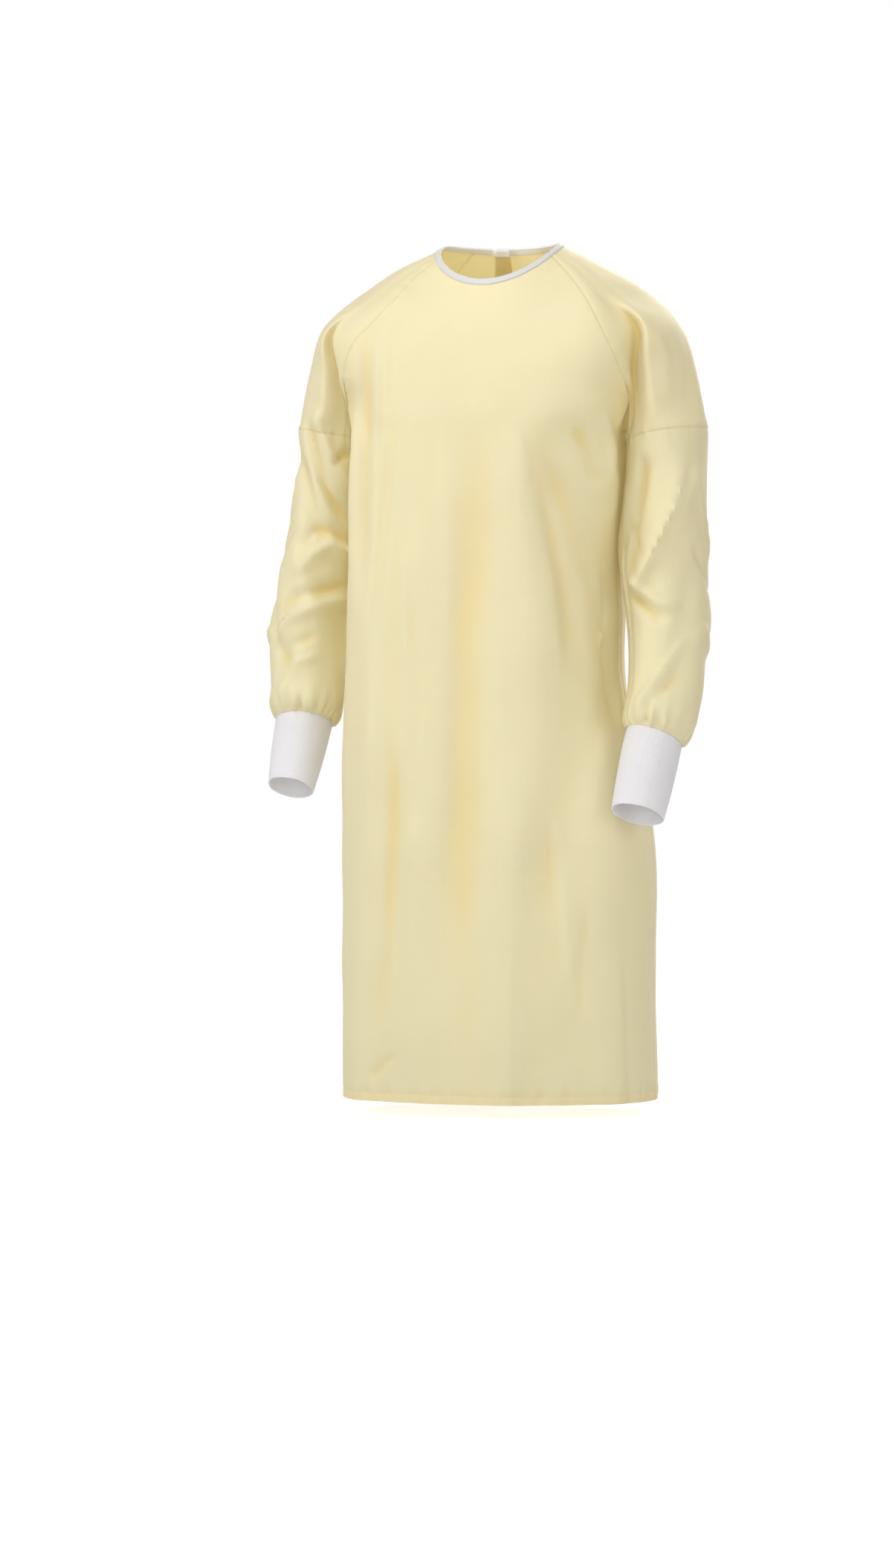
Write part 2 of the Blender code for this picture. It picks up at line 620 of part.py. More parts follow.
def build_cuff(surface, side, material, collection):
    """Rib knit cuff: a tube from the sleeve's end to the wrist opening, bulging a little between."""
    name = "left" if side > 0 else "right"
    arm, under = surface.grids[side, "arm"], surface.grids[side, "arm_under"]
    ring = np.concatenate([arm[-1], under[-1, -2:0:-1]])
    above = np.concatenate([arm[-2], under[-2, -2:0:-1]])
    arm_angles = np.degrees(angles_at(line_positions(ARM_LINES), ARM_LINES, 3))
    under_angles = np.linspace(arm_angles[-1], arm_angles[0] + 360, 2 * UNDERARM_COLUMNS + 1)
    angles = np.radians(np.concatenate([arm_angles, under_angles[1:-1]]))
    end_middle, end = cuff_end(side, angles)
    top_middle = np.array((LEFT_SLEEVE if side > 0 else RIGHT_SLEEVE)[-1][2:5], dtype=float)
    down = surface.points[ring] - surface.points[above]
    first = surface.points[ring] + 0.5 * SEAM_GAP * down / np.linalg.norm(down, axis=1, keepdims=True)
    outer, inner = [], []
    for part in np.linspace(0, 1, CUFF_ROWS + 1):
        points = first * (1 - part) + end * part
        ray = points - (top_middle * (1 - part) + end_middle * part)
        ray /= np.linalg.norm(ray, axis=1, keepdims=True)
        outer.append(points + CUFF_BULGE * math.sin(math.pi * part) * ray)
        inner.append(outer[-1] - CUFF_WALL * ray)
    count = len(ring)
    row, column = np.divmod(np.arange(CUFF_ROWS * count), count)
    start, beside = row * count + column, row * count + (column + 1) % count
    faces = np.stack([start, start + count, beside + count, beside], 1)
    faces = faces if side > 0 else faces[:, ::-1]
    link_mesh("cuff_" + name, np.concatenate(outer + inner),
              wall_faces(faces, boundary_edges(faces), len(outer) * count), material, collection)


def build_binding(surface, material, collection):
    """White binding folded over the neck edge, from one back edge round to the other."""
    left, right = surface.grids[1, "back"], surface.grids[-1, "back"]
    rows = []
    for row in (0, 1):
        rows.append(np.concatenate([
            right[row, -1 - RIGHT_PANEL_END:0:-1], surface.grids[-1, "arm"][row, :0:-1],
            surface.grids[-1, "front"][row, :0:-1], surface.grids[1, "front"][row],
            surface.grids[1, "arm"][row, 1:], left[row, 1:], right[row, -2:-2 - LEFT_PANEL_END:-1],
        ]))
    edge, below = surface.points[rows[0]], surface.points[rows[1]]
    normals = surface.normals[rows[0]]
    sunk = overlap_depths(surface)[rows[0]]
    sunk[len(sunk) // 2:] = 0.0
    edge, below = edge - normals * sunk[:, None], below - normals * sunk[:, None]
    up = (edge - below) / np.linalg.norm(edge - below, axis=1, keepdims=True)
    ends = np.array([edge[1] - edge[0], edge[-2] - edge[-1]])
    edge[[0, -1]] += 0.5 * SEAM_GAP * ends / np.linalg.norm(ends, axis=1, keepdims=True)
    gap, wall = SEAM_GAP, BINDING_WALL
    top, inside = gap + wall, CLOTH + gap
    section = ((-BINDING_HEIGHT, top), (top, top), (top, -inside - wall), (-BINDING_HEIGHT, -inside - wall),
               (-BINDING_HEIGHT, -inside), (gap, -inside), (gap, gap), (-BINDING_HEIGHT, gap))
    points = np.stack([edge + up * along + normals * out for along, out in section], axis=1)
    count, sides = len(edge), len(section)
    faces = []
    for k in range(count - 1):
        for j in range(sides):
            a, b = k * sides + j, k * sides + (j + 1) % sides
            faces.append((a, a + sides, b + sides, b))
    half = sides // 2
    for start, turn in ((0, False), ((count - 1) * sides, True)):
        for j in range(half - 1):
            cap = (start + j, start + j + 1, start + sides - 2 - j, start + sides - 1 - j)
            faces.append(cap if not turn else cap[::-1])
    link_mesh("neck_binding", points.reshape(-1, 3), faces, material, collection)


def build_studs(surface, material, collection):
    """Press studs that hold the left back panel on the right one."""
    grid = surface.grids[-1, "back"]
    for number, row in enumerate(STUD_ROWS, start=1):
        spot = grid[row, -1 - (RIGHT_PANEL_END + LEFT_PANEL_END) // 2]
        normal = surface.normals[spot]
        centre = surface.points[spot] + normal * (SEAM_GAP + 0.5 * STUD_HEIGHT + STUD_LIFT)
        bpy.ops.mesh.primitive_cylinder_add(vertices=20, radius=STUD_RADIUS * MM, depth=STUD_HEIGHT * MM)
        stud = bpy.context.object
        stud.name = "stud_" + str(number)
        stud.location = (centre * MM).tolist()
        stud.rotation_euler = Vector(normal.tolist()).to_track_quat("Z", "Y").to_euler()
        stud.data.materials.append(material)
        stud.data.shade_smooth()
        stud.data.set_sharp_from_angle(angle=math.radians(40))
        for other in list(stud.users_collection):
            other.objects.unlink(stud)
        collection.objects.link(stud)


def main():
    clear_scene()
    collection = bpy.data.collections.new("isolation_gown")
    bpy.context.scene.collection.children.link(collection)
    cloth = make_material("gown_cloth", CLOTH_COLOUR, 0.62)
    white = make_material("white_knit", WHITE_COLOUR, 0.8)
    plastic = make_material("stud_plastic", STUD_COLOUR, 0.4)
    surface = Surface()
    build_panels(surface, cloth, collection)
    for side in (1, -1):
        build_cuff(surface, side, white, collection)
    build_binding(surface, white, collection)
    build_studs(surface, plastic, collection)


if __name__ == "__main__":
    main()
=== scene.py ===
"""Isolation gown, dressed: thin woven cloth, rib knit cuffs, bound neck, seams and stitches.

The gown is filled out as if worn. Its cloth is one surface whose lines run from the neck down over the
yoke and on along the body to the hem or along a sleeve to its cuff, the same one that the frame's solids
follow. Here it is sampled finely, folded and puckered, and cut along its seams into thin shells.
"""

import functools
import math

import bpy
import numpy as np
from mathutils import Matrix, Vector


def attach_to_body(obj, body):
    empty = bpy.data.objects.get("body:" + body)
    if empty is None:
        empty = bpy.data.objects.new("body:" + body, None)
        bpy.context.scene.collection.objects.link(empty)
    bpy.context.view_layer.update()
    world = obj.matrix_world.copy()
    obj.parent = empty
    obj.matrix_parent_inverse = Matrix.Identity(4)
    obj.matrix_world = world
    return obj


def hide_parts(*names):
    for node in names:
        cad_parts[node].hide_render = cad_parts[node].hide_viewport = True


bl_info = {
    "name": "Isolation gown",
    "version": (1, 0, 0),
    "blender": (4, 5, 0),
    "location": "View3D > Sidebar > Gown",
    "description": "Builds a long woven cover gown with raglan sleeves and knit cuffs",
    "category": "Object",
}

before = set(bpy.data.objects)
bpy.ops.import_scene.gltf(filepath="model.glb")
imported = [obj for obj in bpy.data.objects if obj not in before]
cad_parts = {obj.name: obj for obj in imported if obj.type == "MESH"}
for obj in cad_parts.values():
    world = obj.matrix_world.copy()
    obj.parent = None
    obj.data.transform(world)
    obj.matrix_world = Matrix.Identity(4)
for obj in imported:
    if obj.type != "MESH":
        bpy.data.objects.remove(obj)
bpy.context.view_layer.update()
MM = 0.001

# Neck opening in millimetres: half width, half depth, and how far the front lies below the sides.
NECK_HALF_WIDTH = 78.0
NECK_HALF_DEPTH = 75.0
NECK_TOP = 4.0
NECK_DROP = 56.0
NECK_LEVEL = 0.35
NECK_CURVE = 1.7

# Lines down the yoke of one side, from the centre front round the arm to the centre back: name,
# neck angle, body angle and sleeve angle in degrees, and the number of columns on to the next line.
# Angle 0 is the garment's side or the sleeve's outside, and -90 is the front.
LINES = (
    ("centre_front", -90, -90, None, 6),
    ("chest", -60, -52, None, 5),
    ("front_seam", -20, -15, -145, 3),
    ("crease", -14, None, -125, 4),
    ("arm_front", -7, None, -88, 5),
    ("arm_top", 4, None, 0, 5),
    ("arm_back", 22, None, 88, 7),
    ("back_seam", 52, 15, 145, 4),
    ("back_middle", 68, 52, None, 5),
    ("centre_back", 90, 90, None, 0),
)
FRONT_LINES = (0, 1, 2)
ARM_LINES = (2, 3, 4, 5, 6, 7)
BACK_LINES = (7, 8, 9)
ARM_TOP_LINE = 5
UNDERARM_COLUMNS = 6

# Yoke rows below the neck: length down the cloth, then x, y, z on each line of LINES (wearer's left).
YOKE = (
    ("slope", 45, (0, -92, -84), (58, -86, -76), (104, -54, -42), (110, -42, -36),
     (116, -26, -27), (127, 5, -23), (110, 42, -20), (74, 78, -16), (38, 90, -26), (0, 94, -28)),
    ("yoke", 98, (0, -110, -122), (82, -107, -112), (137, -84, -80), (156, -70, -79),
     (172, -50, -72), (196, 5, -63), (166, 62, -60), (108, 97, -52), (58, 108, -66), (0, 111, -70)),
    ("shoulder", 150, (0, -124, -162), (101, -120, -150), (166, -101, -128), (195, -60, -118),
     (214, -77, -114), (237, 4, -104), (206, 72, -106), (144, 108, -102), (78, 119, -114),
     (0, 122, -118)),
    ("upper_arm", 205, (0, -133, -196), (116, -122, -186), (182, -84, -172), (191, -45, -170),
     (219, -74, -168), (260, 3, -166), (220, 74, -166), (172, 94, -158), (98, 122, -168),
     (0, 127, -174)),
    ("underarm", 250, (0, -139, -230), (126, -119, -222), (184, -42, -208), (193, -44, -212),
     (224, -67, -218), (272, 3, -224), (226, 70, -220), (185, 52, -206), (118, 113, -216),
     (0, 129, -222)),
)
# On the wearer's right the front seam and the crease beside it run a little differently on these rows.
RIGHT_POINTS = {
    ("slope", "front_seam"): (-98, -56, -44),
    ("yoke", "front_seam"): (-122, -88, -80),
    ("shoulder", "crease"): (-203, -74, -117),
    ("upper_arm", "front_seam"): (-186, -84, -172),
    ("upper_arm", "crease"): (-201, -60, -170),
    ("underarm", "front_seam"): (-190, -52, -206),
    ("underarm", "crease"): (-198, -46, -212),
}

# Middle of each underarm, where body, sleeve and side seams meet, and the lengths of the yoke rows.
UNDERARM_X = {1: 166.5, -1: -171.5}
UNDERARM_Z = -244.0
UNDERARM_TURN = 0.35
NECK_LENGTH = 0.0
UNDERARM_LENGTH = 250.0
HEM_Z = -1107.0

# Body sections: length down the cloth, z, half widths of the left and the right side, y of the widest
# point on each side, front and back depth, and squareness of the outline (1 is an ellipse).
BODY = (
    ("turn", 290, -257, 168, 164, 0, -38, 139, 127, 0.78),
    ("chest", 334, -300, 168, 176, 4, -52, 139, 126, 0.80),
    ("ribs", 434, -398, 157, 182, 10, -52, 140, 125, 0.84),
    ("waist", 518, -480, 161, 187, 8, -50, 141, 126, 0.86),
    ("hip", 588, -550, 162, 192, 4, -45, 143, 129, 0.87),
    ("low_hip", 690, -650, 181, 198, 0, -34, 146, 134, 0.88),
    ("thigh", 802, -760, 202, 202, 0, -20, 149, 141, 0.90),
    ("knee", 974, -930, 206, 205, 0, -8, 151, 147, 0.92),
    ("hem", 1153, HEM_Z, 207, 207, 0, 0, 152, 150, 0.94),
)

# Just below the wearer's right arm the front stands out at its corner: how far, on these sections,
# round this angle and over this many degrees to each side.
RIGHT_CORNER = {"turn": 15, "chest": 5}
CORNER_ANGLE = -22
CORNER_WIDTH = 20

# Sleeve sections: length down the cloth, centre x, y, z, half width and half depth.
LEFT_SLEEVE = (
    ("arm_seam", 290, 223, 6, -250, 51, 67),
    ("upper_arm", 332, 222, 8, -290, 52, 67),
    ("above_elbow", 400, 218, 9, -357, 55, 67),
    ("elbow", 440, 216, 10, -396, 58, 66),
    ("below_elbow", 480, 219, 6, -435, 56, 65),
    ("forearm", 530, 225, -4, -483, 53, 62),
    ("mid_forearm", 592, 229, -22, -541, 49, 57),
    ("gather_top", 646, 229, -42, -592, 47, 52),
    ("gather", 688, 223, -58, -632, 42, 44),
    ("wrist", 697, 221, -61, -640, 37, 38),
)
RIGHT_SLEEVE = (
    ("arm_seam", 290, -226, 12, -242, 46, 70),
    ("upper_arm", 332, -227, 14, -290, 46, 69),
    ("above_elbow", 400, -236, 15, -357, 49, 67),
    ("elbow", 440, -244, 13, -396, 50, 66),
    ("below_elbow", 480, -251, 9, -435, 51, 64),
    ("forearm", 530, -258, 2, -483, 52, 62),
    ("mid_forearm", 580, -257, -8, -530, 51, 58),
    ("gather_top", 628, -255, -18, -574, 49, 53),
    ("gather", 668, -256, -30, -610, 43, 45),
    ("wrist", 677, -256, -33, -618, 37, 38),
)
SLEEVES = {1: LEFT_SLEEVE, -1: RIGHT_SLEEVE}
SIDE_NAMES = {1: "left", -1: "right"}
ARM_SEAM_LENGTH = 290.0
ARM_SEAM_TILT = 8.0
# Cuffs: each ends at this centre, half width and half depth.
CUFF_ENDS = {1: (209, -103, -738, 34, 35), -1: (-262, -72, -704, 30, 33)}

# The right back panel passes under the left one. Columns of LINES are counted from the centre back on
# the wearer's right: the right panel ends at the first, and the left panel reaches to the second.
RIGHT_PANEL_END = 1
LEFT_PANEL_END = 4
OVERLAP_DEPTH = 2.0
NECK_OVERLAP_DEPTH = 4.2
BINDING_ROW = 9.0
STUD_LENGTHS = (98.0, 518.0, 974.0)
FACING_WIDTH = 12.0
# Parts of the gown that the folds and creases are placed on.
PARTS = ("front", "back", "left_sleeve", "right_sleeve")
# A point this near an edge counts as on it.
EDGE_MARGIN = 0.1

# Rough widths in millimetres: between two lines on the body, between two on the arm, and under the arm.
BODY_LINE_WIDTH = 90.0
ARM_LINE_WIDTH = 45.0
UNDERARM_WIDTH = 130.0

# Mesh steps: columns for each column of LINES on the body, the arm and under the arm, and row length.
BODY_STEPS = 5
ARM_STEPS = 3
UNDERARM_STEPS = 5
ROW_STEP = 4.5
SEAM_STEPS = (1.2, 3.0)

# A fold rises over this part of its length at each end, unless it runs out over the hem.
FOLD_FADE = 0.3

# Soft folds of the body: face, x and z at the top, x and z at the bottom, half width, height.
BODY_FOLDS = (
    ("front", -146, -90, -168, -560, 22, 7.0),
    ("front", -124, -300, -150, -1107, 26, 8.0),
    ("front", -150, -130, -156, -420, 15, -5.0),
    ("front", -104, -600, -128, -1107, 26, -8.0),
    ("front", -62, -250, -74, -1000, 32, 7.0),
    ("front", 2, -240, -30, -1000, 28, -8.0),
    ("front", 40, -220, 96, -640, 30, 8.0),
    ("front", 80, -240, 148, -600, 26, -12.0),
    ("front", 146, -520, 98, -900, 32, -9.0),
    ("front", 58, -640, 40, -1107, 32, 8.0),
    ("front", 166, -640, 172, -1107, 22, 6.0),
    ("front", 150, -160, 158, -420, 18, 5.0),
    ("back", -158, -250, -170, -1107, 28, -7.0),
    ("back", 128, -240, 150, -1107, 30, 8.0),
    ("back", 84, -260, 98, -1107, 28, -8.0),
    ("back", 168, -420, 178, -1000, 24, -6.0),
    ("back", 40, -420, 30, -1107, 30, 5.0),
)
# Soft folds of the sleeves: side, angle and z at the top, angle and z at the bottom, half width in
# millimetres, height.
SLEEVE_FOLDS = (
    ("left", -10, -262, -118, -470, 17, 7.0),
    ("left", -100, -275, -150, -430, 15, -7.0),
    ("left", -30, -380, -70, -620, 18, -5.0),
    ("left", 60, -280, 140, -480, 18, -6.0),
    ("left", 20, -450, 80, -620, 18, 5.0),
    ("right", -20, -250, -120, -400, 15, -8.0),
    ("right", -60, -380, -140, -520, 15, 7.0),
    ("right", 10, -400, -90, -580, 16, -7.0),
    ("right", 60, -280, 140, -480, 18, -6.0),
    ("right", 30, -470, 100, -600, 18, 5.0),
)
SLEEVE_RADIUS = 55.0

# Creases laid over the soft folds: place, half width on the path's left and on its right, height,
# and the path as across and z. Across is x on the front and the back, y on the sides.
CREASES = (
    ("front", 10, 12, -7.5, ((-148, -70), (-151, -226), (-152, -330), (-154, -480))),
    ("front", 3, 5, 2.0, ((-168, -190), (-170, -300), (-174, -440))),
    ("front", 5, 8, 2.4, ((-120, -88), (-119, -191), (-123, -300))),
    ("front", 3, 7, 1.5, ((-95, -225), (-106, -363), (-121, -510))),
    ("front", 3, 6, 1.4, ((-89, -380), (-86, -516), (-79, -600))),
    ("front", 3, 6, 0.9, ((-37, -235), (-43, -380))),
    ("front", 5, 12, -2.2, ((-112, -250), (-128, -420), (-140, -520))),
    ("front", 16, 24, 4.5, ((-135, -500), (-127, -696), (-120, -839), (-115, -1300))),
    ("front", 10, 16, -3.0, ((-96, -640), (-109, -820), (-128, -1030))),
    ("front", 9, 16, -3.5, ((-79, -430), (-68, -611), (-74, -780))),
    ("front", 14, 18, 4.0, ((-33, -200), (-28, -460), (-34, -649), (-42, -900))),
    ("front", 12, 20, -2.6, ((31, -250), (17, -423), (15, -555), (8, -743), (-13, -960))),
    ("front", 20, 9, 5.5, ((55, -225), (81, -348), (100, -443), (112, -580))),
    ("front", 12, 26, -8.5, ((86, -236), (108, -311), (134, -386), (154, -461), (164, -560), (158, -680))),
    ("front", 3, 5, 6.5, ((156, -222), (159, -273), (159, -322))),
    ("front", 9, 5, -5.5, ((130, -240), (144, -280), (153, -326))),
    ("front", 5, 7, -3.0, ((169, -236), (168, -273), (165, -310))),
    ("front", 8, 16, 3.0, ((108, -720), (118, -818), (130, -960))),
    ("front", 3, 6, -1.8, ((146, -850), (136, -940), (140, -1010))),
    ("front", 3, 6, -1.6, ((181, -880), (186, -1006), (190, -1300))),
    ("front", 3, 6, 1.2, ((60, -860), (52, -980), (56, -1300))),
    ("front", 4, 7, -2.2, ((-140, -1080), (-120, -1061), (-100, -1045))),
    ("left_front", 14, 4, 8.0, ((262, -262), (243, -345), (214, -420), (190, -474))),
    ("left_front", 6, 14, -7.0, ((205, -262), (197, -330), (186, -405), (180, -450))),
    ("left_front", 9, 4, 6.0, ((181, -424), (203, -452), (232, -470), (262, -472))),
    ("left_front", 5, 12, -5.5, ((184, -452), (208, -478), (240, -498))),
    ("left_front", 9, 4, 5.0, ((196, -612), (222, -574), (248, -540), (266, -500))),
    ("left_front", 4, 9, -3.0, ((214, -612), (236, -586), (260, -560))),
    ("left_front", 4, 8, -2.6, ((176, -360), (190, -396), (216, -420))),
    ("left_front", 9, 4, 3.0, ((222, -110), (236, -160), (238, -220))),
    ("left_front", 4, 9, -2.4, ((244, -96), (256, -150), (256, -225))),
    ("left_outer", 12, 5, 4.0, ((-40, -280), (-6, -330), (30, -420))),
    ("left_outer", 5, 10, -4.0, ((-30, -390), (4, -440), (44, -480))),
    ("left_outer", 10, 5, 3.5, ((-56, -520), (-20, -500), (26, -540))),
    ("left_back", 12, 5, 5.0, ((258, -270), (236, -340), (200, -410))),
    ("left_back", 5, 10, -5.0, ((190, -400), (224, -430), (262, -440))),
    ("left_back", 10, 5, 4.0, ((186, -440), (220, -478), (258, -520))),
    ("right_front", 5, 10, -9.0, ((-252, -216), (-240, -262), (-224, -310), (-190, -376))),
    ("right_front", 13, 5, 7.0, ((-232, -205), (-217, -260), (-200, -300), (-190, -330))),
    ("right_front", 4, 6, -6.0, ((-190, -262), (-204, -276), (-212, -288))),
    ("right_front", 10, 4, 7.0, ((-262, -430), (-238, -398), (-216, -385), (-190, -404))),
    ("right_front", 5, 10, -6.5, ((-262, -398), (-238, -372), (-212, -372), (-190, -388))),
    ("right_front", 10, 4, 7.0, ((-300, -520), (-272, -484), (-240, -470), (-196, -452))),
    ("right_front", 5, 9, -6.0, ((-296, -496), (-262, -458), (-220, -446), (-190, -430))),
    ("right_front", 9, 4, 4.5, ((-286, -590), (-256, -540), (-220, -528))),
    ("right_front", 5, 9, -4.5, ((-292, -566), (-262, -520), (-226, -506))),
    ("right_outer", 12, 5, 4.5, ((-30, -260), (0, -330), (40, -400))),
    ("right_outer", 5, 10, -4.5, ((-44, -360), (-10, -410), (36, -450))),
    ("right_outer", 10, 5, 4.0, ((-52, -480), (-16, -500), (30, -540))),
    ("right_back", 12, 5, 5.0, ((-256, -260), (-230, -330), (-200, -390))),
    ("right_back", 5, 10, -5.0, ((-200, -400), (-236, -430), (-280, -440))),
    ("right_back", 10, 5, 4.0, ((-206, -450), (-240, -480), (-284, -520))),
    ("back", 10, 16, -5.0, ((-120, -200), (-128, -420), (-140, -640), (-150, -900))),
    ("back", 16, 22, 4.5, ((-96, -240), (-98, -520), (-104, -860), (-110, -1300))),
    ("back", 9, 14, -4.0, ((-60, -420), (-66, -700), (-78, -980))),
    ("back", 14, 10, 3.5, ((10, -200), (16, -460), (12, -800), (4, -1300))),
    ("back", 9, 16, -5.0, ((44, -260), (36, -520), (28, -860))),
    ("back", 18, 10, 5.0, ((86, -230), (96, -460), (104, -720), (96, -1040))),
    ("back", 8, 14, -4.5, ((120, -220), (134, -380), (140, -560))),
    ("back", 4, 8, 2.4, ((-136, -120), (-150, -180), (-152, -250))),
    ("back", 4, 8, 2.4, ((132, -110), (150, -180), (150, -260))),
    ("back", 4, 6, 1.4, ((70, -560), (62, -760), (66, -980))),
    ("back", 3, 6, 1.2, ((-30, -300), (-26, -470))),
)
PLACES = {
    "front": ("front", 0, None),
    "back": ("back", 0, None),
    "left_front": ("left_sleeve", 0, (0, -1, 0)),
    "left_back": ("left_sleeve", 0, (0, 1, 0)),
    "left_outer": ("left_sleeve", 1, (1, 0, 0)),
    "right_front": ("right_sleeve", 0, (0, -1, 0)),
    "right_back": ("right_sleeve", 0, (0, 1, 0)),
    "right_outer": ("right_sleeve", 1, (-1, 0, 0)),
}
# A crease rises over this part of its length at each end. One on a sleeve shows where the cloth's
# normal faces its side: from this much behind square, growing over the next range.
CREASE_FADE = 0.22
FACING_START = 0.15
FACING_RANGE = 0.5

# A patch fades into its neighbour beside their shared seam: on the body and on the arm over this part of
# the way to the next line, under the arm over this part of its width, and below it over this length.
BODY_BLEND = 0.5
ARM_BLEND = 0.9
UNDER_BLEND = 0.4
UNDERARM_BLEND = 40.0
# The raglan seams end this far below the underarm row, and crumples start this far below the neck.
YOKE_SEAM_END = 6.0
CALM_NECK = 40.0

# Seams in millimetres: half widths of the darker line, the groove and the puckers, the wavelengths of the
# puckers, and how high they are on the side seams, the arm seams and the hem as shares of the usual height.
SEAM_LINE = 1.5
SEAM_GROOVE = 1.6
PUCKER_REACH = 8.0
PUCKER_WAVES = (17.0, 11.3, 27.0)
SIDE_SEAM_SHARE = 0.7
ARM_SEAM_SHARE = 1.3
ARM_SEAM_REACH = 9.0
HEM_SHARE = 1.2
HEM_REACH = 9.0
HEM_GROOVE = 1.8
HEM_DEPTH = 0.5

# Puckers round the arm seam and the hem: sines of so many waves in a turn, and the phase of each. Their
# sum is divided by the last number.
ARM_SEAM_WAVES = ((23, 0.0), (37, 1.0), (14, 2.0))
ARM_SEAM_CALM = 2.0
HEM_WAVES = ((41, 0.0), (67, 1.0), (29, 2.0), (97, 0.5))
HEM_CALM = 2.5

# Gathers above a cuff: waves round the sleeve, height in millimetres, and the length they reach up.
# Their heights vary by this share, and they close over this length above the cuff.
GATHER_WAVES = ((15, 1.9, 46.0), (24, 1.4, 26.0), (41, 0.6, 12.0))
GATHER_VARIETY = 0.45
GATHER_CLOSING = 5.0
# Crumple of the whole cloth: the number of waves, shortest and longest wave, and total height.
CRUMPLE_WAVES = 18
CRUMPLE_RANGE = (46.0, 190.0)
CRUMPLE_HEIGHT = 1.5
SEED = 7

# Hollows, where shade is painted into the cloth: rounds of averaging that find the neighbourhood and then
# even out the result, the depth in millimetres that counts as full, and the share that flat cloth gets.
HOLLOW_ROUNDS = 14
HOLLOW_SMOOTHING = 3
HOLLOW_DEPTH = 2.6
HOLLOW_BASE = 0.12

# Knit cuff: its rough length in millimetres, points for each rib, rows down the wall and round its edge,
# swell of its middle, dip at its seam and how far that reaches down, and two sags round it: waves,
# height and phase.
CUFF_LENGTH = 100.0
RIB_POINTS = 6
CUFF_ROWS = 34
CUFF_EDGE_ROWS = 9
CUFF_SWELL = 1.2
CUFF_DIP = 0.5
CUFF_DIP_REACH = 0.03
CUFF_SAGS = ((2, 0.5, 0.6), (5, 0.35, 0.0))

# Neck binding in millimetres: the tape's thickness, its gap to the cloth, the share of thickness lost at
# its long edges, the spacing of its sections, the height and the wavelengths of its waves.
TAPE = 0.7
TAPE_GAP = 0.25
TAPE_EDGE = 0.45
TAPE_STEP = 2.2
TAPE_WAVE = 0.08
TAPE_WAVES = (13.0, 21.0, 34.0)

# Press stud cap, from its middle out over the rim and back below: share of the radius, height in
# millimetres.
STUD_PROFILE = (
    (0.02, 1.55), (0.25, 1.5), (0.5, 1.36), (0.68, 1.16), (0.74, 1.0), (0.8, 0.98), (0.86, 1.12),
    (0.92, 1.16), (0.98, 1.02), (1.0, 0.75), (0.99, 0.4), (0.94, 0.15), (0.9, 0.1), (0.02, 0.1),
)
STUD_SIDES = 48

# Stitches: share of the pitch that shows, points along and sides of each, the shares of its thickness by
# which the thread rises in its middle and sinks at its ends, and in millimetres how far a row lies out of
# the cloth, and how far above the binding's long edge and out of the neck edge's surface.
STITCH_SHARE = 0.74
STITCH_POINTS = 5
STITCH_RISE = 0.55
STITCH_SINK = 0.25
STITCH_LIFT = 0.05
TAPE_STITCH_INSET = 1.1
TAPE_STITCH_OUT = 0.95
# The row beside the lap's edge starts at this mesh row and lies this many mesh columns in.
LAP_STITCH_ROW = 4
LAP_STITCH_COLUMNS = 3

# Materials: roughness, sheen, specular level, and scale of the soft unevenness.
MATERIALS = {
    "woven_cloth": (0.55, 0.25, 0.35, 9.0),
    "rib_knit": (0.8, 0.3, 0.3, 22.0),
    "binding_tape": (0.7, 0.2, 0.35, 30.0),
    "thread_cloth": (0.5, 0.2, 0.5, 400.0),
    "thread_white": (0.5, 0.2, 0.5, 400.0),
    "moulded_plastic": (0.35, 0.0, 0.5, 160.0),
    "pale_floor": (0.9, 0.0, 0.1, 3.0),
}
SHEEN_ROUGHNESS = 0.45
# Widths in metres of a thread of the cloth and of the tape, and of a loop of the knit.
CLOTH_THREAD = 0.0006
TAPE_THREAD = 0.0005
KNIT_LOOP = 0.0011

# Share of each tone that is mixed into the cloth where it applies; the first is painted shade.
HOLLOW_SHADE_SHARE = 0.58
DOUBLED_TONE = 0.75
SEAM_TONE = 0.32
# Share of the light that passes through instead of being thrown back: the cloth's outer and inner side,
# and the knit.
CLOTH_THROUGH = 0.34
INNER_THROUGH = 0.62
KNIT_THROUGH = 0.38

# The photograph's camera: turned to the wearer's left, level, its height and distance in metres.
CAMERA_AZIMUTH = 16.0
CAMERA_HEIGHT = -0.70
CAMERA_DISTANCE = 5.8
CAMERA_ASIDE = -0.0696
CAMERA_LENS = 102.4
SENSOR = 36.0
FLOOR_HEIGHT = -1.125
FLOOR_SIZE = 120.0
# The floor shows this much white of its own, as overexposed ground does, but throws none on the gown.
FLOOR_GLOW = 0.76

# Soft lights: place, size in metres and power in watts. They face this height on the upright axis.
LIGHT_TARGET = -0.55
LIGHTS = (
    ("left_softbox", (-3.5, -2.4, 1.0), 1.4, 72.0),
    ("right_softbox", (3.2, -1.9, 0.3), 1.6, 26.0),
    ("front_softbox", (1.0, -4.0, -0.35), 1.4, 36.0),
    ("top_softbox", (-0.4, -1.5, 2.3), 1.2, 34.0),
    ("back_softbox", (0.4, 3.2, 1.3), 2.0, 138.0),
)
WORLD_STRENGTH = 0.40


def length_value(name, words, value):
    """A length in metres that a maker may change."""
    return bpy.props.FloatProperty(name=name, description=words, default=value, unit="LENGTH")


def colour_value(name, words, *value):
    """A colour that a maker may change: its red, green and blue."""
    return bpy.props.FloatVectorProperty(
        name=name, description=words, subtype="COLOR", size=4, default=value + (1.0,))


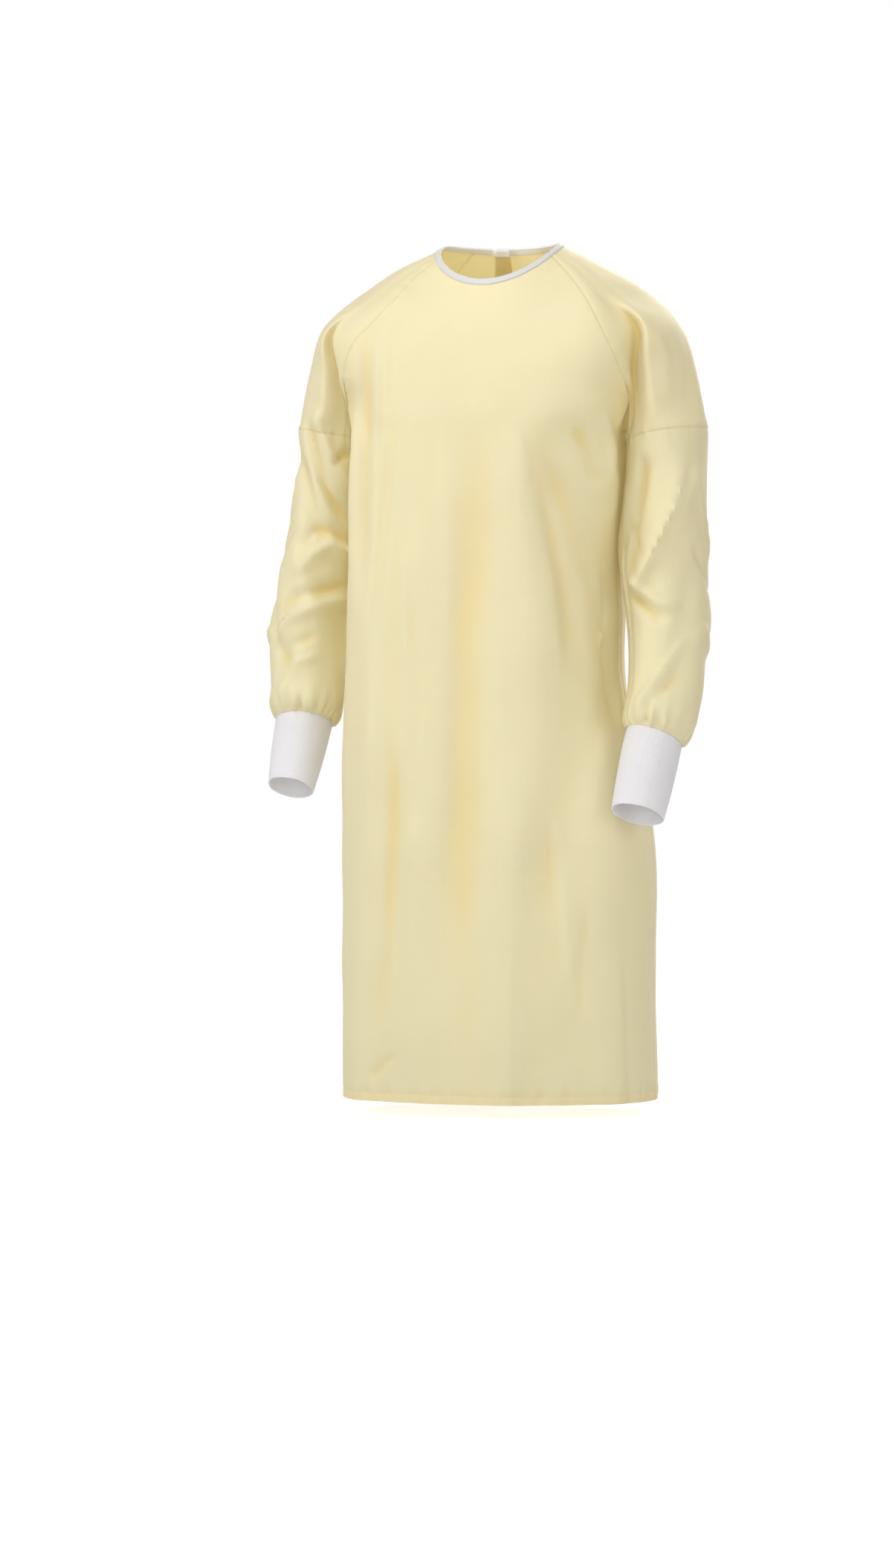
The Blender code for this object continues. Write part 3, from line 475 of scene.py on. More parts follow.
class GownSizes(bpy.types.PropertyGroup):
    """Sizes that a maker would change."""

    cloth_wall: length_value("Cloth", "Thickness of the cloth", 0.0007)
    hem_height: length_value("Hem", "Height of the turned-up hem", 0.012)
    hem_wall: length_value("Hem wall", "Thickness of the turned-up hem", 0.0018)
    seam_depth: length_value("Seam", "Depth of the groove along a seam", 0.0009)
    pucker: length_value("Pucker", "Height of the puckers beside a seam", 0.0009)
    cuff_wall: length_value("Cuff", "Thickness of the knit cuff", 0.0018)
    cuff_ribs: bpy.props.IntProperty(name="Cuff ribs", description="Ribs round a cuff", default=72)
    rib_depth: length_value("Rib", "Height of a rib of the knit", 0.00022)
    binding_height: length_value("Binding", "Height of the neck binding", 0.0085)
    stitch_length: length_value("Stitch", "Length of one stitch", 0.0030)
    thread_width: length_value("Thread", "Thickness of the sewing thread", 0.0005)
    stud_radius: length_value("Stud", "Radius of a press stud's cap", 0.0055)


class GownColours(bpy.types.PropertyGroup):
    """Colours that a maker would change."""

    cloth: colour_value("Cloth", "Woven cloth", 0.895, 0.847, 0.585)
    # Painted shade: a warmer, darker cloth colour mixed in where the cloth lies deep in a fold.
    painted_fold_shade: colour_value("Cloth in folds", "Warmer tone of the cloth in its hollows", 0.93, 0.71, 0.25)
    doubled: colour_value("Doubled cloth", "Cloth lying double in hems and laps", 0.95, 0.84, 0.52)
    seam: colour_value("Seam line", "Cloth drawn in along a seam", 0.80, 0.66, 0.32)
    through: colour_value(
        "Light through", "Colour of light that has passed through the cloth", 0.95, 0.88, 0.64)
    knit: colour_value("Knit", "Knit cuffs", 0.92, 0.91, 0.93)
    binding: colour_value("Binding", "Neck binding", 0.63, 0.62, 0.60)
    # Painted light: a lighter copy of the binding's white on the inside of the neck, where it lies in shade.
    painted_lit_binding_inside: colour_value(
        "Binding inside", "Neck binding on the inside of the neck", 0.88, 0.87, 0.88)
    thread: colour_value("Thread", "Sewing thread", 0.80, 0.72, 0.47)
    stud: colour_value("Stud", "Press studs", 0.82, 0.80, 0.74)
    floor: colour_value("Floor", "Floor and backdrop", 0.60, 0.60, 0.60)


def smooth(t):
    """Ease from 0 to 1 as t goes from 0 to 1: three times t squared less twice t cubed."""
    t = np.clip(t, 0.0, 1.0)
    return t * t * (3 - 2 * t)


def bell(distance, half_width):
    """1 at no distance, falling off as a bell curve of this half width."""
    return np.exp(-(distance / half_width) ** 2)


def unit(vectors):
    """Each vector divided by its own length."""
    return vectors / np.maximum(np.linalg.norm(vectors, axis=-1, keepdims=True), 1e-12)


def slopes_of(keys, points):
    """Slope of a smooth curve at each of its points, from the two neighbouring stretches."""
    step = np.diff(keys)[(slice(None),) + (None,) * (points.ndim - 1)]
    rate = np.diff(points, axis=0) / step
    middle = (rate[:-1] * step[1:] + rate[1:] * step[:-1]) / (step[:-1] + step[1:])
    return np.concatenate([rate[:1], middle, rate[-1:]])


def curve_through(keys, points, slopes, at):
    """Cubic curve through points with the given slopes, read at the lengths in at."""
    at = np.asarray(at, dtype=float)
    piece = np.clip(np.searchsorted(keys, at, side="right") - 1, 0, len(keys) - 2)
    step = keys[piece + 1] - keys[piece]
    shape = (slice(None),) + (None,) * (points.ndim - 1)
    t = ((at - keys[piece]) / step)[shape]
    step = step[shape]
    start, end = points[piece], points[piece + 1]
    start_slope, end_slope = slopes[piece] * step, slopes[piece + 1] * step
    return ((2 * t**3 - 3 * t**2 + 1) * start + (t**3 - 2 * t**2 + t) * start_slope
            + (3 * t**2 - 2 * t**3) * end + (t**3 - t**2) * end_slope)


def stretches(ends, step):
    """Lengths from the first to the last of ends, through each of them, about step apart."""
    parts = [np.linspace(a, b, max(1, round((b - a) / step)), endpoint=False)
             for a, b in zip(ends[:-1], ends[1:])]
    return np.concatenate(parts + [[ends[-1]]])


def line_positions(lines, steps, width, seam_ends):
    """Position of each mesh column on the scale where the named lines are whole numbers.

    Beside a seam, at the ends named in seam_ends, columns are added at SEAM_STEPS millimetres; width is
    the rough distance in millimetres between two lines.
    """
    parts = [line + np.arange(LINES[line][4] * steps) / (LINES[line][4] * steps) for line in lines[:-1]]
    near = np.array(SEAM_STEPS) / width
    extra = [lines[0] + near] * ("first" in seam_ends) + [lines[-1] - near] * ("last" in seam_ends)
    return np.unique(np.round(np.concatenate(parts + [[float(lines[-1])]] + extra), 6))


def angles_at(positions, lines, item):
    """Angle of each column, from the angles in the given place of the rows of LINES."""
    return np.radians(np.interp(positions, lines, [LINES[line][item] for line in lines]))


def neck_ring(angles, side):
    """Points of the neck edge: an ellipse whose front dips below the sides."""
    front = np.clip((NECK_LEVEL - np.sin(angles)) / (1 + NECK_LEVEL), 0.0, 1.0)
    height = NECK_TOP - NECK_DROP * front**NECK_CURVE
    return np.stack([side * NECK_HALF_WIDTH * np.cos(angles), NECK_HALF_DEPTH * np.sin(angles), height], -1)


def yoke_rows(side, positions):
    """The yoke's named rows on the columns at these positions, shaped (row, column, xyz)."""
    rows = [neck_ring(angles_at(positions, range(len(LINES)), 1), side)]
    for row in YOKE:
        points = np.array(row[2:], dtype=float)
        points[:, 0] *= side
        for place, line in enumerate(LINES):
            if side < 0 and (row[0], line[0]) in RIGHT_POINTS:
                points[place] = RIGHT_POINTS[row[0], line[0]]
        mirror = np.array([-1.0, 1.0, 1.0])
        ringed = np.concatenate([points[1:2] * mirror, points, points[-2:-1] * mirror])
        keys = np.arange(-1, len(LINES) + 1, dtype=float)
        rows.append(curve_through(keys, ringed, slopes_of(keys, ringed), positions))
    return np.array(rows)


def body_rings(side, angles):
    """The body's sections: an ellipse whose sine and cosine are raised to the squareness."""
    rings = []
    corner = math.radians(CORNER_ANGLE)
    bulge = bell(angles - corner, math.radians(CORNER_WIDTH))
    for name, _, z, left, right, left_y, right_y, front, back, squareness in BODY:
        half_width, middle = (left, left_y) if side > 0 else (right, right_y)
        across = np.abs(np.cos(angles)) ** squareness
        along = np.sign(np.sin(angles)) * np.abs(np.sin(angles)) ** squareness
        depth = np.where(along < 0, front + middle, back - middle)
        ring = np.stack([side * half_width * across, middle + depth * along, np.full(len(angles), z)], -1)
        if side < 0:
            out = RIGHT_CORNER.get(name, 0) * bulge
            ring[:, 0] -= out * math.cos(corner)
            ring[:, 1] += out * math.sin(corner)
        rings.append(ring)
    return np.array(rings)


def sleeve_frame(centres):
    """Directions across and through the sleeve at each of its centres, square to its line."""
    down = np.gradient(centres, axis=0)
    down[0] = (0.0, 0.0, -1.0)
    down = unit(down)
    through = unit(np.array([0.0, 1.0, 0.0]) - down[:, 1:2] * down)
    return np.cross(through, -down), through


def sleeve_rings(side, angles):
    """The sleeve's sections: ellipses square to its centre line, the first one tilted."""
    numbers = np.array([row[1:] for row in SLEEVES[side]], dtype=float)
    centres = numbers[:, 1:4]
    across, through = sleeve_frame(centres)
    width = numbers[:, 4, None, None] * np.cos(angles)[None, :, None] * side
    depth = numbers[:, 5, None, None] * np.sin(angles)[None, :, None]
    rings = centres[:, None] + across[:, None] * width + through[:, None] * depth
    rings[0, :, 2] += ARM_SEAM_TILT * np.cos(angles)
    return rings


def underarm_curve(front_seam, back_seam, side, part):
    """Curve under the arm from the front seam to the back seam: a chord with a sine's sag."""
    middle = np.array([UNDERARM_X[side], 0.5 * (front_seam[1] + back_seam[1]), UNDERARM_Z])
    t = np.asarray(part)[:, None]
    chord = front_seam * (1 - t) + back_seam * t
    sag = (middle - 0.5 * (front_seam + back_seam)) * np.sin(math.pi * t)
    return chord + sag


def body_fold_heights(points, face):
    """Push outwards by the soft folds of one face: a bell curve across each fold's line."""
    heights = np.zeros(points.shape[:-1])
    for fold_face, x_top, z_top, x_bottom, z_bottom, half_width, height in BODY_FOLDS:
        if fold_face != face:
            continue
        part = (points[..., 2] - z_top) / (z_bottom - z_top)
        line = x_top + (x_bottom - x_top) * np.clip(part, 0, 1)
        fade = smooth(part / FOLD_FADE)
        if z_bottom > HEM_Z:
            fade = fade * smooth((1.0 - part) / FOLD_FADE)
        heights += height * bell(points[..., 0] - line, half_width) * fade
    return heights


def sleeve_fold_heights(points, angles, side):
    """Push outwards by the soft folds of one sleeve: a bell curve across each fold's slanting line."""
    heights = np.zeros(points.shape[:-1])
    turned = np.degrees(angles)[None, :]
    for fold_side, top, z_top, bottom, z_bottom, half_width, height in SLEEVE_FOLDS:
        if fold_side != SIDE_NAMES[side]:
            continue
        part = (points[..., 2] - z_top) / (z_bottom - z_top)
        line = top + (bottom - top) * np.clip(part, 0, 1)
        off = (turned - line + 180) % 360 - 180
        fade = smooth(part / FOLD_FADE) * smooth((1.0 - part) / FOLD_FADE)
        heights += height * bell(np.radians(off) * SLEEVE_RADIUS, half_width) * fade
    return heights


def gather_heights(turn, lengths, wrist):
    """Waves round the sleeve that rise towards the wrist and close where the cuff is sewn on."""
    rows = (wrist - lengths)[:, None]
    heights = np.zeros((len(lengths), len(turn)))
    for number, (waves, height, reach) in enumerate(GATHER_WAVES):
        uneven = 1.0 + GATHER_VARIETY * np.sin(2 * math.pi * (3 + number) * turn + 1.3 * number)
        wave = np.sin(2 * math.pi * waves * turn + 2.1 * number + 0.6 * np.sin(2 * math.pi * 5 * turn))
        heights += height * (uneven * wave)[None, :] * smooth(1 - rows / reach)
    return heights * smooth(rows / GATHER_CLOSING)


def seam_wave(along, waves):
    """Uneven pucker along a seam: sines of the given wavelengths in millimetres, added up."""
    return sum(np.sin(2 * math.pi * along / wave + 1.7 * k) for k, wave in enumerate(waves)) / len(waves)


def row_distances(grid):
    """Distance along each row from its first column."""
    steps = np.linalg.norm(np.diff(grid, axis=1), axis=2)
    return np.concatenate([np.zeros((len(grid), 1)), np.cumsum(steps, axis=1)], axis=1)


def side_positions():
    """Columns of each patch, as positions on the scale of LINES, and the fractions under the arm."""
    front = line_positions(FRONT_LINES, BODY_STEPS, BODY_LINE_WIDTH, ("last",))
    arm = line_positions(ARM_LINES, ARM_STEPS, ARM_LINE_WIDTH, ("first", "last"))
    back = line_positions(BACK_LINES, BODY_STEPS, BODY_LINE_WIDTH, ("first",))
    near = np.array(SEAM_STEPS) / UNDERARM_WIDTH
    under = np.linspace(0.0, 1.0, UNDERARM_COLUMNS * UNDERARM_STEPS + 1)
    under = np.unique(np.round(np.concatenate([under, 0.5 - near, 0.5 + near, near, 1 - near]), 6))
    return front, arm, back, under


def row_lengths(hem_height):
    """Lengths of the mesh rows of the yoke, the body and each sleeve, with rows close to the seams."""
    near = np.array(SEAM_STEPS)
    yoke = stretches([NECK_LENGTH, BINDING_ROW, UNDERARM_LENGTH], ROW_STEP)
    hem = BODY[-1][1] - hem_height
    body = stretches([UNDERARM_LENGTH, hem - 1.0, hem, BODY[-1][1]], ROW_STEP)
    sleeves = {}
    for side, table in SLEEVES.items():
        ends = [UNDERARM_LENGTH, ARM_SEAM_LENGTH, table[-1][1]]
        rows = np.concatenate([stretches(ends, ROW_STEP), ARM_SEAM_LENGTH - near, ARM_SEAM_LENGTH + near,
                               table[-1][1] - near])
        sleeves[side] = np.unique(np.round(rows, 4))
    return yoke, body, sleeves


def build_side(side, hem_height):
    """All patches of one side as grids of points, with each row's length and each column's place.

    A patch is a cubic curve down each column through the table's sections. Where patches meet at the
    underarm they share their slope, so the cloth turns smoothly from the yoke into body and sleeve.
    """
    front, arm, back, under = side_positions()
    yoke_at, body_at, sleeve_rows = row_lengths(hem_height)
    sleeve_at = sleeve_rows[side]
    yokes = {name: yoke_rows(side, at) for name, at in (("front", front), ("arm", arm), ("back", back))}
    under_row = underarm_curve(yokes["arm"][-1, 0], yokes["arm"][-1, -1], side, under)
    top_keys = np.array([NECK_LENGTH] + [row[1] for row in YOKE], dtype=float)
    body_keys = np.array([UNDERARM_LENGTH] + [row[1] for row in BODY], dtype=float)
    sleeve_keys = np.array([UNDERARM_LENGTH] + [row[1] for row in SLEEVES[side]], dtype=float)
    whole_body = np.concatenate([top_keys, body_keys[1:]])
    whole_sleeve = np.concatenate([top_keys, sleeve_keys[1:]])
    arm_angles = angles_at(arm, ARM_LINES, 3)
    first, last = np.radians(LINES[ARM_LINES[0]][3]), np.radians(LINES[ARM_LINES[-1]][3] - 360)
    inner_angles = first + (last - first) * under
    first, last = np.radians(LINES[FRONT_LINES[-1]][2]), np.radians(LINES[BACK_LINES[0]][2])
    side_angles = first + (last - first) * under
    front_rings = body_rings(side, angles_at(front, FRONT_LINES, 2))
    back_rings = body_rings(side, angles_at(back, BACK_LINES, 2))
    curves = {
        "front": (whole_body, np.concatenate([yokes["front"], front_rings])),
        "back": (whole_body, np.concatenate([yokes["back"], back_rings])),
        "arm": (whole_sleeve, np.concatenate([yokes["arm"], sleeve_rings(side, arm_angles)])),
        "body_under": (body_keys, np.concatenate([under_row[None], body_rings(side, side_angles)])),
        "arm_under": (sleeve_keys, np.concatenate([under_row[None], sleeve_rings(side, inner_angles)])),
    }
    slopes = {name: slopes_of(*curve) for name, curve in curves.items()}
    meeting = len(top_keys) - 1
    for body, column, end in (("front", -1, 0), ("back", 0, -1)):
        shared = 0.5 * (slopes[body][meeting, column] + slopes["arm"][meeting, end])
        slopes[body][meeting, column] = shared
        slopes["arm"][meeting, end] = shared
        slopes["body_under"][0, end] = shared
        slopes["arm_under"][0, end] = shared
    turned = np.sin(math.pi * under)[:, None]
    level = np.array([side * UNDERARM_TURN, 0.0, 0.0])
    slopes["body_under"][0] = slopes["body_under"][0] * (1 - turned) - level * turned
    slopes["arm_under"][0] = slopes["arm_under"][0] * (1 - turned) + level * turned
    rows = {
        "front": np.concatenate([yoke_at, body_at[1:]]),
        "back": np.concatenate([yoke_at, body_at[1:]]),
        "arm": np.concatenate([yoke_at, sleeve_at[1:]]),
        "body_under": body_at,
        "arm_under": sleeve_at,
    }
    columns = {"front": front, "arm": arm, "back": back, "body_under": under, "arm_under": under}
    angles = {"arm": arm_angles, "arm_under": inner_angles}
    grids = {name: curve_through(keys, points, slopes[name], rows[name])
             for name, (keys, points) in curves.items()}
    return grids, rows, columns, angles


def patch_weights(name, columns, rows):
    """How much each point of a patch belongs to the front, the back and the sleeve.

    A patch belongs wholly to its own part, and fades into its neighbours beside their shared seam.
    """
    shape = (len(rows), len(columns))
    zero, one = np.zeros(shape), np.ones(shape)
    below = smooth(1 - (rows - rows[0]) / UNDERARM_BLEND)[:, None]
    if name == "front":
        edge = smooth(1 - (FRONT_LINES[-1] - columns) / BODY_BLEND)
        return {"front": one, "back": zero, "sleeve": one * edge}
    if name == "back":
        edge = smooth(1 - (columns - BACK_LINES[0]) / BODY_BLEND)
        return {"front": zero, "back": one, "sleeve": one * edge}
    if name == "arm":
        return {"front": one * smooth(1 - (columns - ARM_LINES[0]) / ARM_BLEND),
                "back": one * smooth(1 - (ARM_LINES[-1] - columns) / ARM_BLEND), "sleeve": one}
    to_front, to_back = smooth(1 - columns / UNDER_BLEND), smooth(1 - (1 - columns) / UNDER_BLEND)
    if name == "body_under":
        return {"front": one * to_front, "back": one * to_back, "sleeve": one * below}
    return {"front": below * to_front, "back": below * to_back, "sleeve": one}


def seam_distances(name, columns, rows, across):
    """Distances to the seams of one patch: its raglan seams, its side seam and the one across the arm.

    The raglan seams come as a list. A patch without a side seam or an arm seam has None for it.
    """
    raglan = []
    if name in ("back", "arm"):
        raglan.append(across)
    if name in ("front", "arm"):
        raglan.append(across[:, -1:] - across)
    middle = int(np.argmin(np.abs(columns - 0.5)))
    side = across - across[:, middle:middle + 1] if name in ("body_under", "arm_under") else None
    arm = (rows - ARM_SEAM_LENGTH)[:, None] if name in ("arm", "arm_under") else None
    return raglan, side, arm


def seam_heights(name, columns, rows, across, turn, depth, pucker):
    """Groove and puckers along the seams of one patch, from each point's distance to them."""
    raglan, side, arm = seam_distances(name, columns, rows, across)
    heights = np.zeros(across.shape)
    yoke = smooth((UNDERARM_LENGTH + YOKE_SEAM_END - rows) / YOKE_SEAM_END)[:, None]
    wave = seam_wave(rows, PUCKER_WAVES)[:, None]
    for distance in raglan:
        heights += yoke * (pucker * wave * bell(distance, PUCKER_REACH)
                           - depth * bell(distance, SEAM_GROOVE))
    if side is not None:
        heights += (SIDE_SEAM_SHARE * pucker * wave * bell(side, PUCKER_REACH)
                    - depth * bell(side, SEAM_GROOVE))
    if arm is not None:
        wave = sum(np.sin(2 * math.pi * waves * turn + phase) for waves, phase in ARM_SEAM_WAVES)
        wave = wave[None, :] / ARM_SEAM_CALM
        heights += (ARM_SEAM_SHARE * pucker * wave * bell(arm, ARM_SEAM_REACH)
                    - depth * bell(arm, SEAM_GROOVE))
    return heights


def seam_mask(name, columns, rows, across):
    """1 on the seams of one patch and 0 away from them: a bell curve of the distance."""
    raglan, side, arm = seam_distances(name, columns, rows, across)
    near_yoke = (rows < UNDERARM_LENGTH + 1.0)[:, None]
    mask = np.zeros(across.shape)
    for distance in raglan:
        mask += near_yoke * bell(distance, SEAM_LINE)
    for distance in (side, arm):
        if distance is not None:
            mask += bell(distance, SEAM_LINE)
    return np.clip(mask, 0.0, 1.0)


def crease_heights(points, normals, weights):
    """Push outwards by the creases: a bell curve of the distance to each path, uneven on its two sides."""
    heights = np.zeros(len(points))
    for place, left, right, height, path in CREASES:
        part, axis, facing = PLACES[place]
        spot = points[:, (axis, 2)]
        path = np.array(path, dtype=float)
        nearest, along, turned = np.full(len(points), 1e9), np.zeros(len(points)), np.zeros(len(points))
        reached, total = 0.0, np.linalg.norm(np.diff(path, axis=0), axis=1).sum()
        for start, end in zip(path[:-1], path[1:]):
            step = end - start
            length = np.linalg.norm(step)
            t = np.clip((spot - start) @ step / length**2, 0.0, 1.0)
            off = spot - start - t[:, None] * step
            distance = np.linalg.norm(off, axis=1)
            closer = distance < nearest
            nearest = np.where(closer, distance, nearest)
            along = np.where(closer, (reached + t * length) / total, along)
            turned = np.where(closer, step[0] * off[:, 1] - step[1] * off[:, 0], turned)
            reached += length
        width = np.where(turned > 0, right, left)
        fade = smooth(along / CREASE_FADE) * smooth((1 - along) / CREASE_FADE)
        weight = weights[part]
        if facing is not None:
            weight = weight * smooth((normals @ np.array(facing, dtype=float) + FACING_START) / FACING_RANGE)
        heights += height * weight * fade * bell(nearest, width)
    return heights


def crumple_heights(points):
    """Slight unevenness of the whole cloth: flat waves in seeded directions, mostly across it."""
    rng = np.random.default_rng(SEED)
    heights = np.zeros(len(points))
    for _ in range(CRUMPLE_WAVES):
        direction = unit(rng.normal(size=3) * np.array([1.0, 1.0, 0.45]))
        wave = math.exp(rng.uniform(math.log(CRUMPLE_RANGE[0]), math.log(CRUMPLE_RANGE[1])))
        size = wave / CRUMPLE_RANGE[1]
        heights += size * np.sin(2 * math.pi * (points @ direction) / wave + rng.uniform(0, 2 * math.pi))
    return heights * CRUMPLE_HEIGHT / math.sqrt(CRUMPLE_WAVES)


class Surface:
    """The whole gown as one surface: shared points in millimetres, outward normals and numbered grids."""

    def __init__(self, sizes):
        hem_height, pucker = sizes.hem_height / MM, sizes.pucker / MM
        self.grids, self.rows, self.columns, self.across = {}, {}, {}, {}
        shapes, stores = self.build_patches(hem_height, sizes.seam_depth / MM, pucker)
        _, first, number = np.unique(np.round(stores["points"], 2), axis=0, return_index=True,
                                     return_inverse=True)
        number = number.reshape(-1)
        start = 0
        for key, shape in shapes:
            count = shape[0] * shape[1]
            self.grids[key] = number[start:start + count].reshape(shape)
            start += count
        weights = {name: stores[name][first] for name in PARTS}
        self.seam = stores["seam"][first]
        self.points = stores["points"][first]
        self.base = self.points
        self.normals = self.find_normals()
        hem = self.hem_heights(hem_height, pucker)
        creases = crease_heights(self.points, self.normals, weights)
        crumples = crumple_heights(self.points) * self.away_from_neck()
        heights = stores["folds"][first] + hem + creases + crumples
        self.points = self.points + self.normals * heights[:, None]
        self.normals = self.find_normals()
        # Mask of the folds' deep places, where the cloth's colour takes painted shade.
        self.painted_hollow_shade = self.find_hollows()

    def build_patches(self, hem_height, depth, pucker):
        """Each patch's key and shape, and the values of all their points in one row for each kind."""
        stores = {name: [] for name in ("points", "folds", "seam") + PARTS}
        shapes = []
        for side in (1, -1):
            grids, rows, columns, angles = build_side(side, hem_height)
            for name in ("arm", "arm_under", "front", "body_under", "back"):
                grid, key = grids[name], (side, name)
                across = row_distances(grid)
                weights = patch_weights(name, columns[name], rows[name])
                folds = (body_fold_heights(grid, "front") * weights["front"]
                         + body_fold_heights(grid, "back") * weights["back"])
                turn = np.zeros(grid.shape[1])
                if name in angles:
                    turn = angles[name] / (2 * math.pi)
                    folds += sleeve_fold_heights(grid, angles[name], side)
                    folds += gather_heights(turn, rows[name], rows[name][-1])
                folds += seam_heights(name, columns[name], rows[name], across, turn, depth, pucker)
                self.rows[key], self.columns[key], self.across[key] = rows[name], columns[name], across
                shapes.append((key, grid.shape[:2]))
                stores["points"].append(grid.reshape(-1, 3))
                stores["folds"].append(folds.reshape(-1))
                stores["seam"].append(seam_mask(name, columns[name], rows[name], across).reshape(-1))
                stores["front"].append(weights["front"].reshape(-1))
                stores["back"].append(weights["back"].reshape(-1))
                own, other = ("left_sleeve", "right_sleeve") if side > 0 else ("right_sleeve", "left_sleeve")
                stores[own].append(weights["sleeve"].reshape(-1))
                stores[other].append(np.zeros(grid.shape[0] * grid.shape[1]))
        return shapes, {name: np.concatenate(arrays) for name, arrays in stores.items()}

    def away_from_neck(self):
        """0 at the neck edge and 1 from CALM_NECK below it, so that the binding lies evenly."""
        near = np.ones(len(self.points))
        for key, grid in self.grids.items():
            if "under" not in key[1]:
                near[grid] = smooth(self.rows[key] / CALM_NECK)[:, None]
        return near

    def hem_heights(self, hem_height, pucker):
        """Stitched line of the hem, drawn in a little, with puckers round the gown."""
        heights = np.zeros(len(self.points))
        turn = np.arctan2(self.points[:, 1], self.points[:, 0])
        wave = sum(np.sin(waves * turn + phase) for waves, phase in HEM_WAVES) / HEM_CALM
        for key, grid in self.grids.items():
            if key[1] in ("front", "back", "body_under"):
                rows = self.rows[key][:, None]
                distance = np.abs(rows - (rows[-1] - hem_height))
                draw = HEM_SHARE * pucker * wave[grid] * bell(distance, HEM_REACH)
                heights[grid] = draw - HEM_DEPTH * bell(distance, HEM_GROOVE)
        return heights

    def cells(self, side, name, rows=slice(None), columns=slice(None)):
        """Faces between the given rows and columns of one grid, turned outwards, with their UVs.

        The first UV is the distance across the cloth in metres, the second the length down it. On the
        back and the front it is measured from the centre, on a sleeve from the arm's top line.
        """
        grid, length, across = self.grids[side, name], self.rows[side, name], self.across[side, name]
        if name == "front":
            offset = across
        elif name == "back":
            offset = across - across[:, -1:]
        elif name == "arm":
            top = int(np.argmin(np.abs(self.columns[side, name] - ARM_TOP_LINE)))
            offset = across - across[:, top:top + 1]
        else:
            offset = self.under_offsets(side, name, across, columns)
        u = side * offset * MM
        v = np.broadcast_to(length[:, None] * MM, u.shape)
        flat = np.stack([u, v], -1)[rows, columns]
        part = grid[rows, columns]

        def corners(values):
            return np.stack([values[:-1, :-1], values[1:, :-1], values[1:, 1:], values[:-1, 1:]], 2)

        faces, uvs = corners(part).reshape(-1, 4), corners(flat).reshape(-1, 4, 2)
        if (side < 0) != (name == "arm_under"):
            faces, uvs = faces[:, ::-1], uvs[:, ::-1]
        return faces, uvs

    def under_offsets(self, side, name, across, columns):
        """Distance across the cloth under the arm, going on from the patch that this half is cut with."""
        body, first = name == "body_under", columns.start in (None, 0)
        owner = "arm"
        if body:
            owner = "front" if first else "back"
        joined = self.across[side, owner][-len(self.rows[side, name]):]
        if not body:
            top = int(np.argmin(np.abs(self.columns[side, owner] - ARM_TOP_LINE)))
            joined = joined - joined[:, top:top + 1]
        if first:
            return joined[:, -1:] + across if body else joined[:, :1] - across
        rest = across[:, -1:] - across
        return -joined[:, -1:] - rest if body else joined[:, -1:] + rest

    def find_normals(self):
        """Unit normal of each shared point, from all the faces round it."""
        faces = np.concatenate([self.cells(*key)[0] for key in self.grids])
        self.faces = faces
        corner = self.points[faces]
        face_normals = unit(np.cross(corner[:, 2] - corner[:, 0], corner[:, 3] - corner[:, 1]))
        normals = np.zeros_like(self.points)
        for k in range(4):
            np.add.at(normals, faces[:, k], face_normals)
        return unit(normals)

    def spread(self, values):
        """Each point's mean of its own value and its neighbours' along the faces' edges."""
        total, count = values.copy(), np.ones(len(values))
        for k in range(4):
            a, b = self.faces[:, k], self.faces[:, (k + 1) % 4]
            np.add.at(total, a, values[b])
            np.add.at(count, a, 1.0)
        return total / (count if values.ndim == 1 else count[:, None])

    def find_hollows(self):
        """0 to 1 deep in a fold, for painted shade: how far its neighbourhood stands before it."""
        around = self.points
        for _ in range(HOLLOW_ROUNDS):
            around = self.spread(around)
        depth = np.sum((around - self.points) * self.normals, axis=1)
        for _ in range(HOLLOW_SMOOTHING):
            depth = self.spread(depth)
        return smooth(depth / HOLLOW_DEPTH + HOLLOW_BASE)


@functools.lru_cache(maxsize=1)
def gown_surface():
    """The surface for the sizes in use, worked out once."""
    return Surface(bpy.context.scene.gown_sizes)


def boundary_edges(faces):
    """Directed edges that only one face has."""
    edges = np.concatenate([np.stack([faces[:, k], faces[:, (k + 1) % 4]], 1) for k in range(4)])
    size = int(faces.max()) + 1
    forward, backward = edges[:, 0] * size + edges[:, 1], edges[:, 1] * size + edges[:, 0]
    return edges[~np.isin(forward, backward)]


def make_object(name, points, faces, uvs=None, values=None, material=None, sharp=60):
    """A smooth-shaded object from points in millimetres, its faces, UVs by corner and point values."""
    mesh = bpy.data.meshes.new(name)
    mesh.from_pydata((points * MM).tolist(), [], faces.tolist() if hasattr(faces, "tolist") else faces)
    if uvs is not None:
        layer = mesh.uv_layers.new(name="cloth")
        layer.data.foreach_set("uv", np.asarray(uvs, dtype=np.float32).reshape(-1))
    for key, array in (values or {}).items():
        attribute = mesh.attributes.new(key, "FLOAT", "POINT")
        attribute.data.foreach_set("value", np.asarray(array, dtype=np.float32))
    mesh.shade_smooth()
    mesh.set_sharp_from_angle(angle=math.radians(sharp))
    mesh.update()
    if material is not None:
        mesh.materials.append(material)
    piece = bpy.data.objects.new(name, mesh)
    bpy.context.scene.collection.objects.link(piece)
    return piece


def attach(piece, slot, *nodes):
    """Let a piece ride on the gown and stand for its nodes, which are hidden; the slot is not used."""
    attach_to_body(piece, "root")
    if nodes:
        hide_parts(*nodes)
    return piece


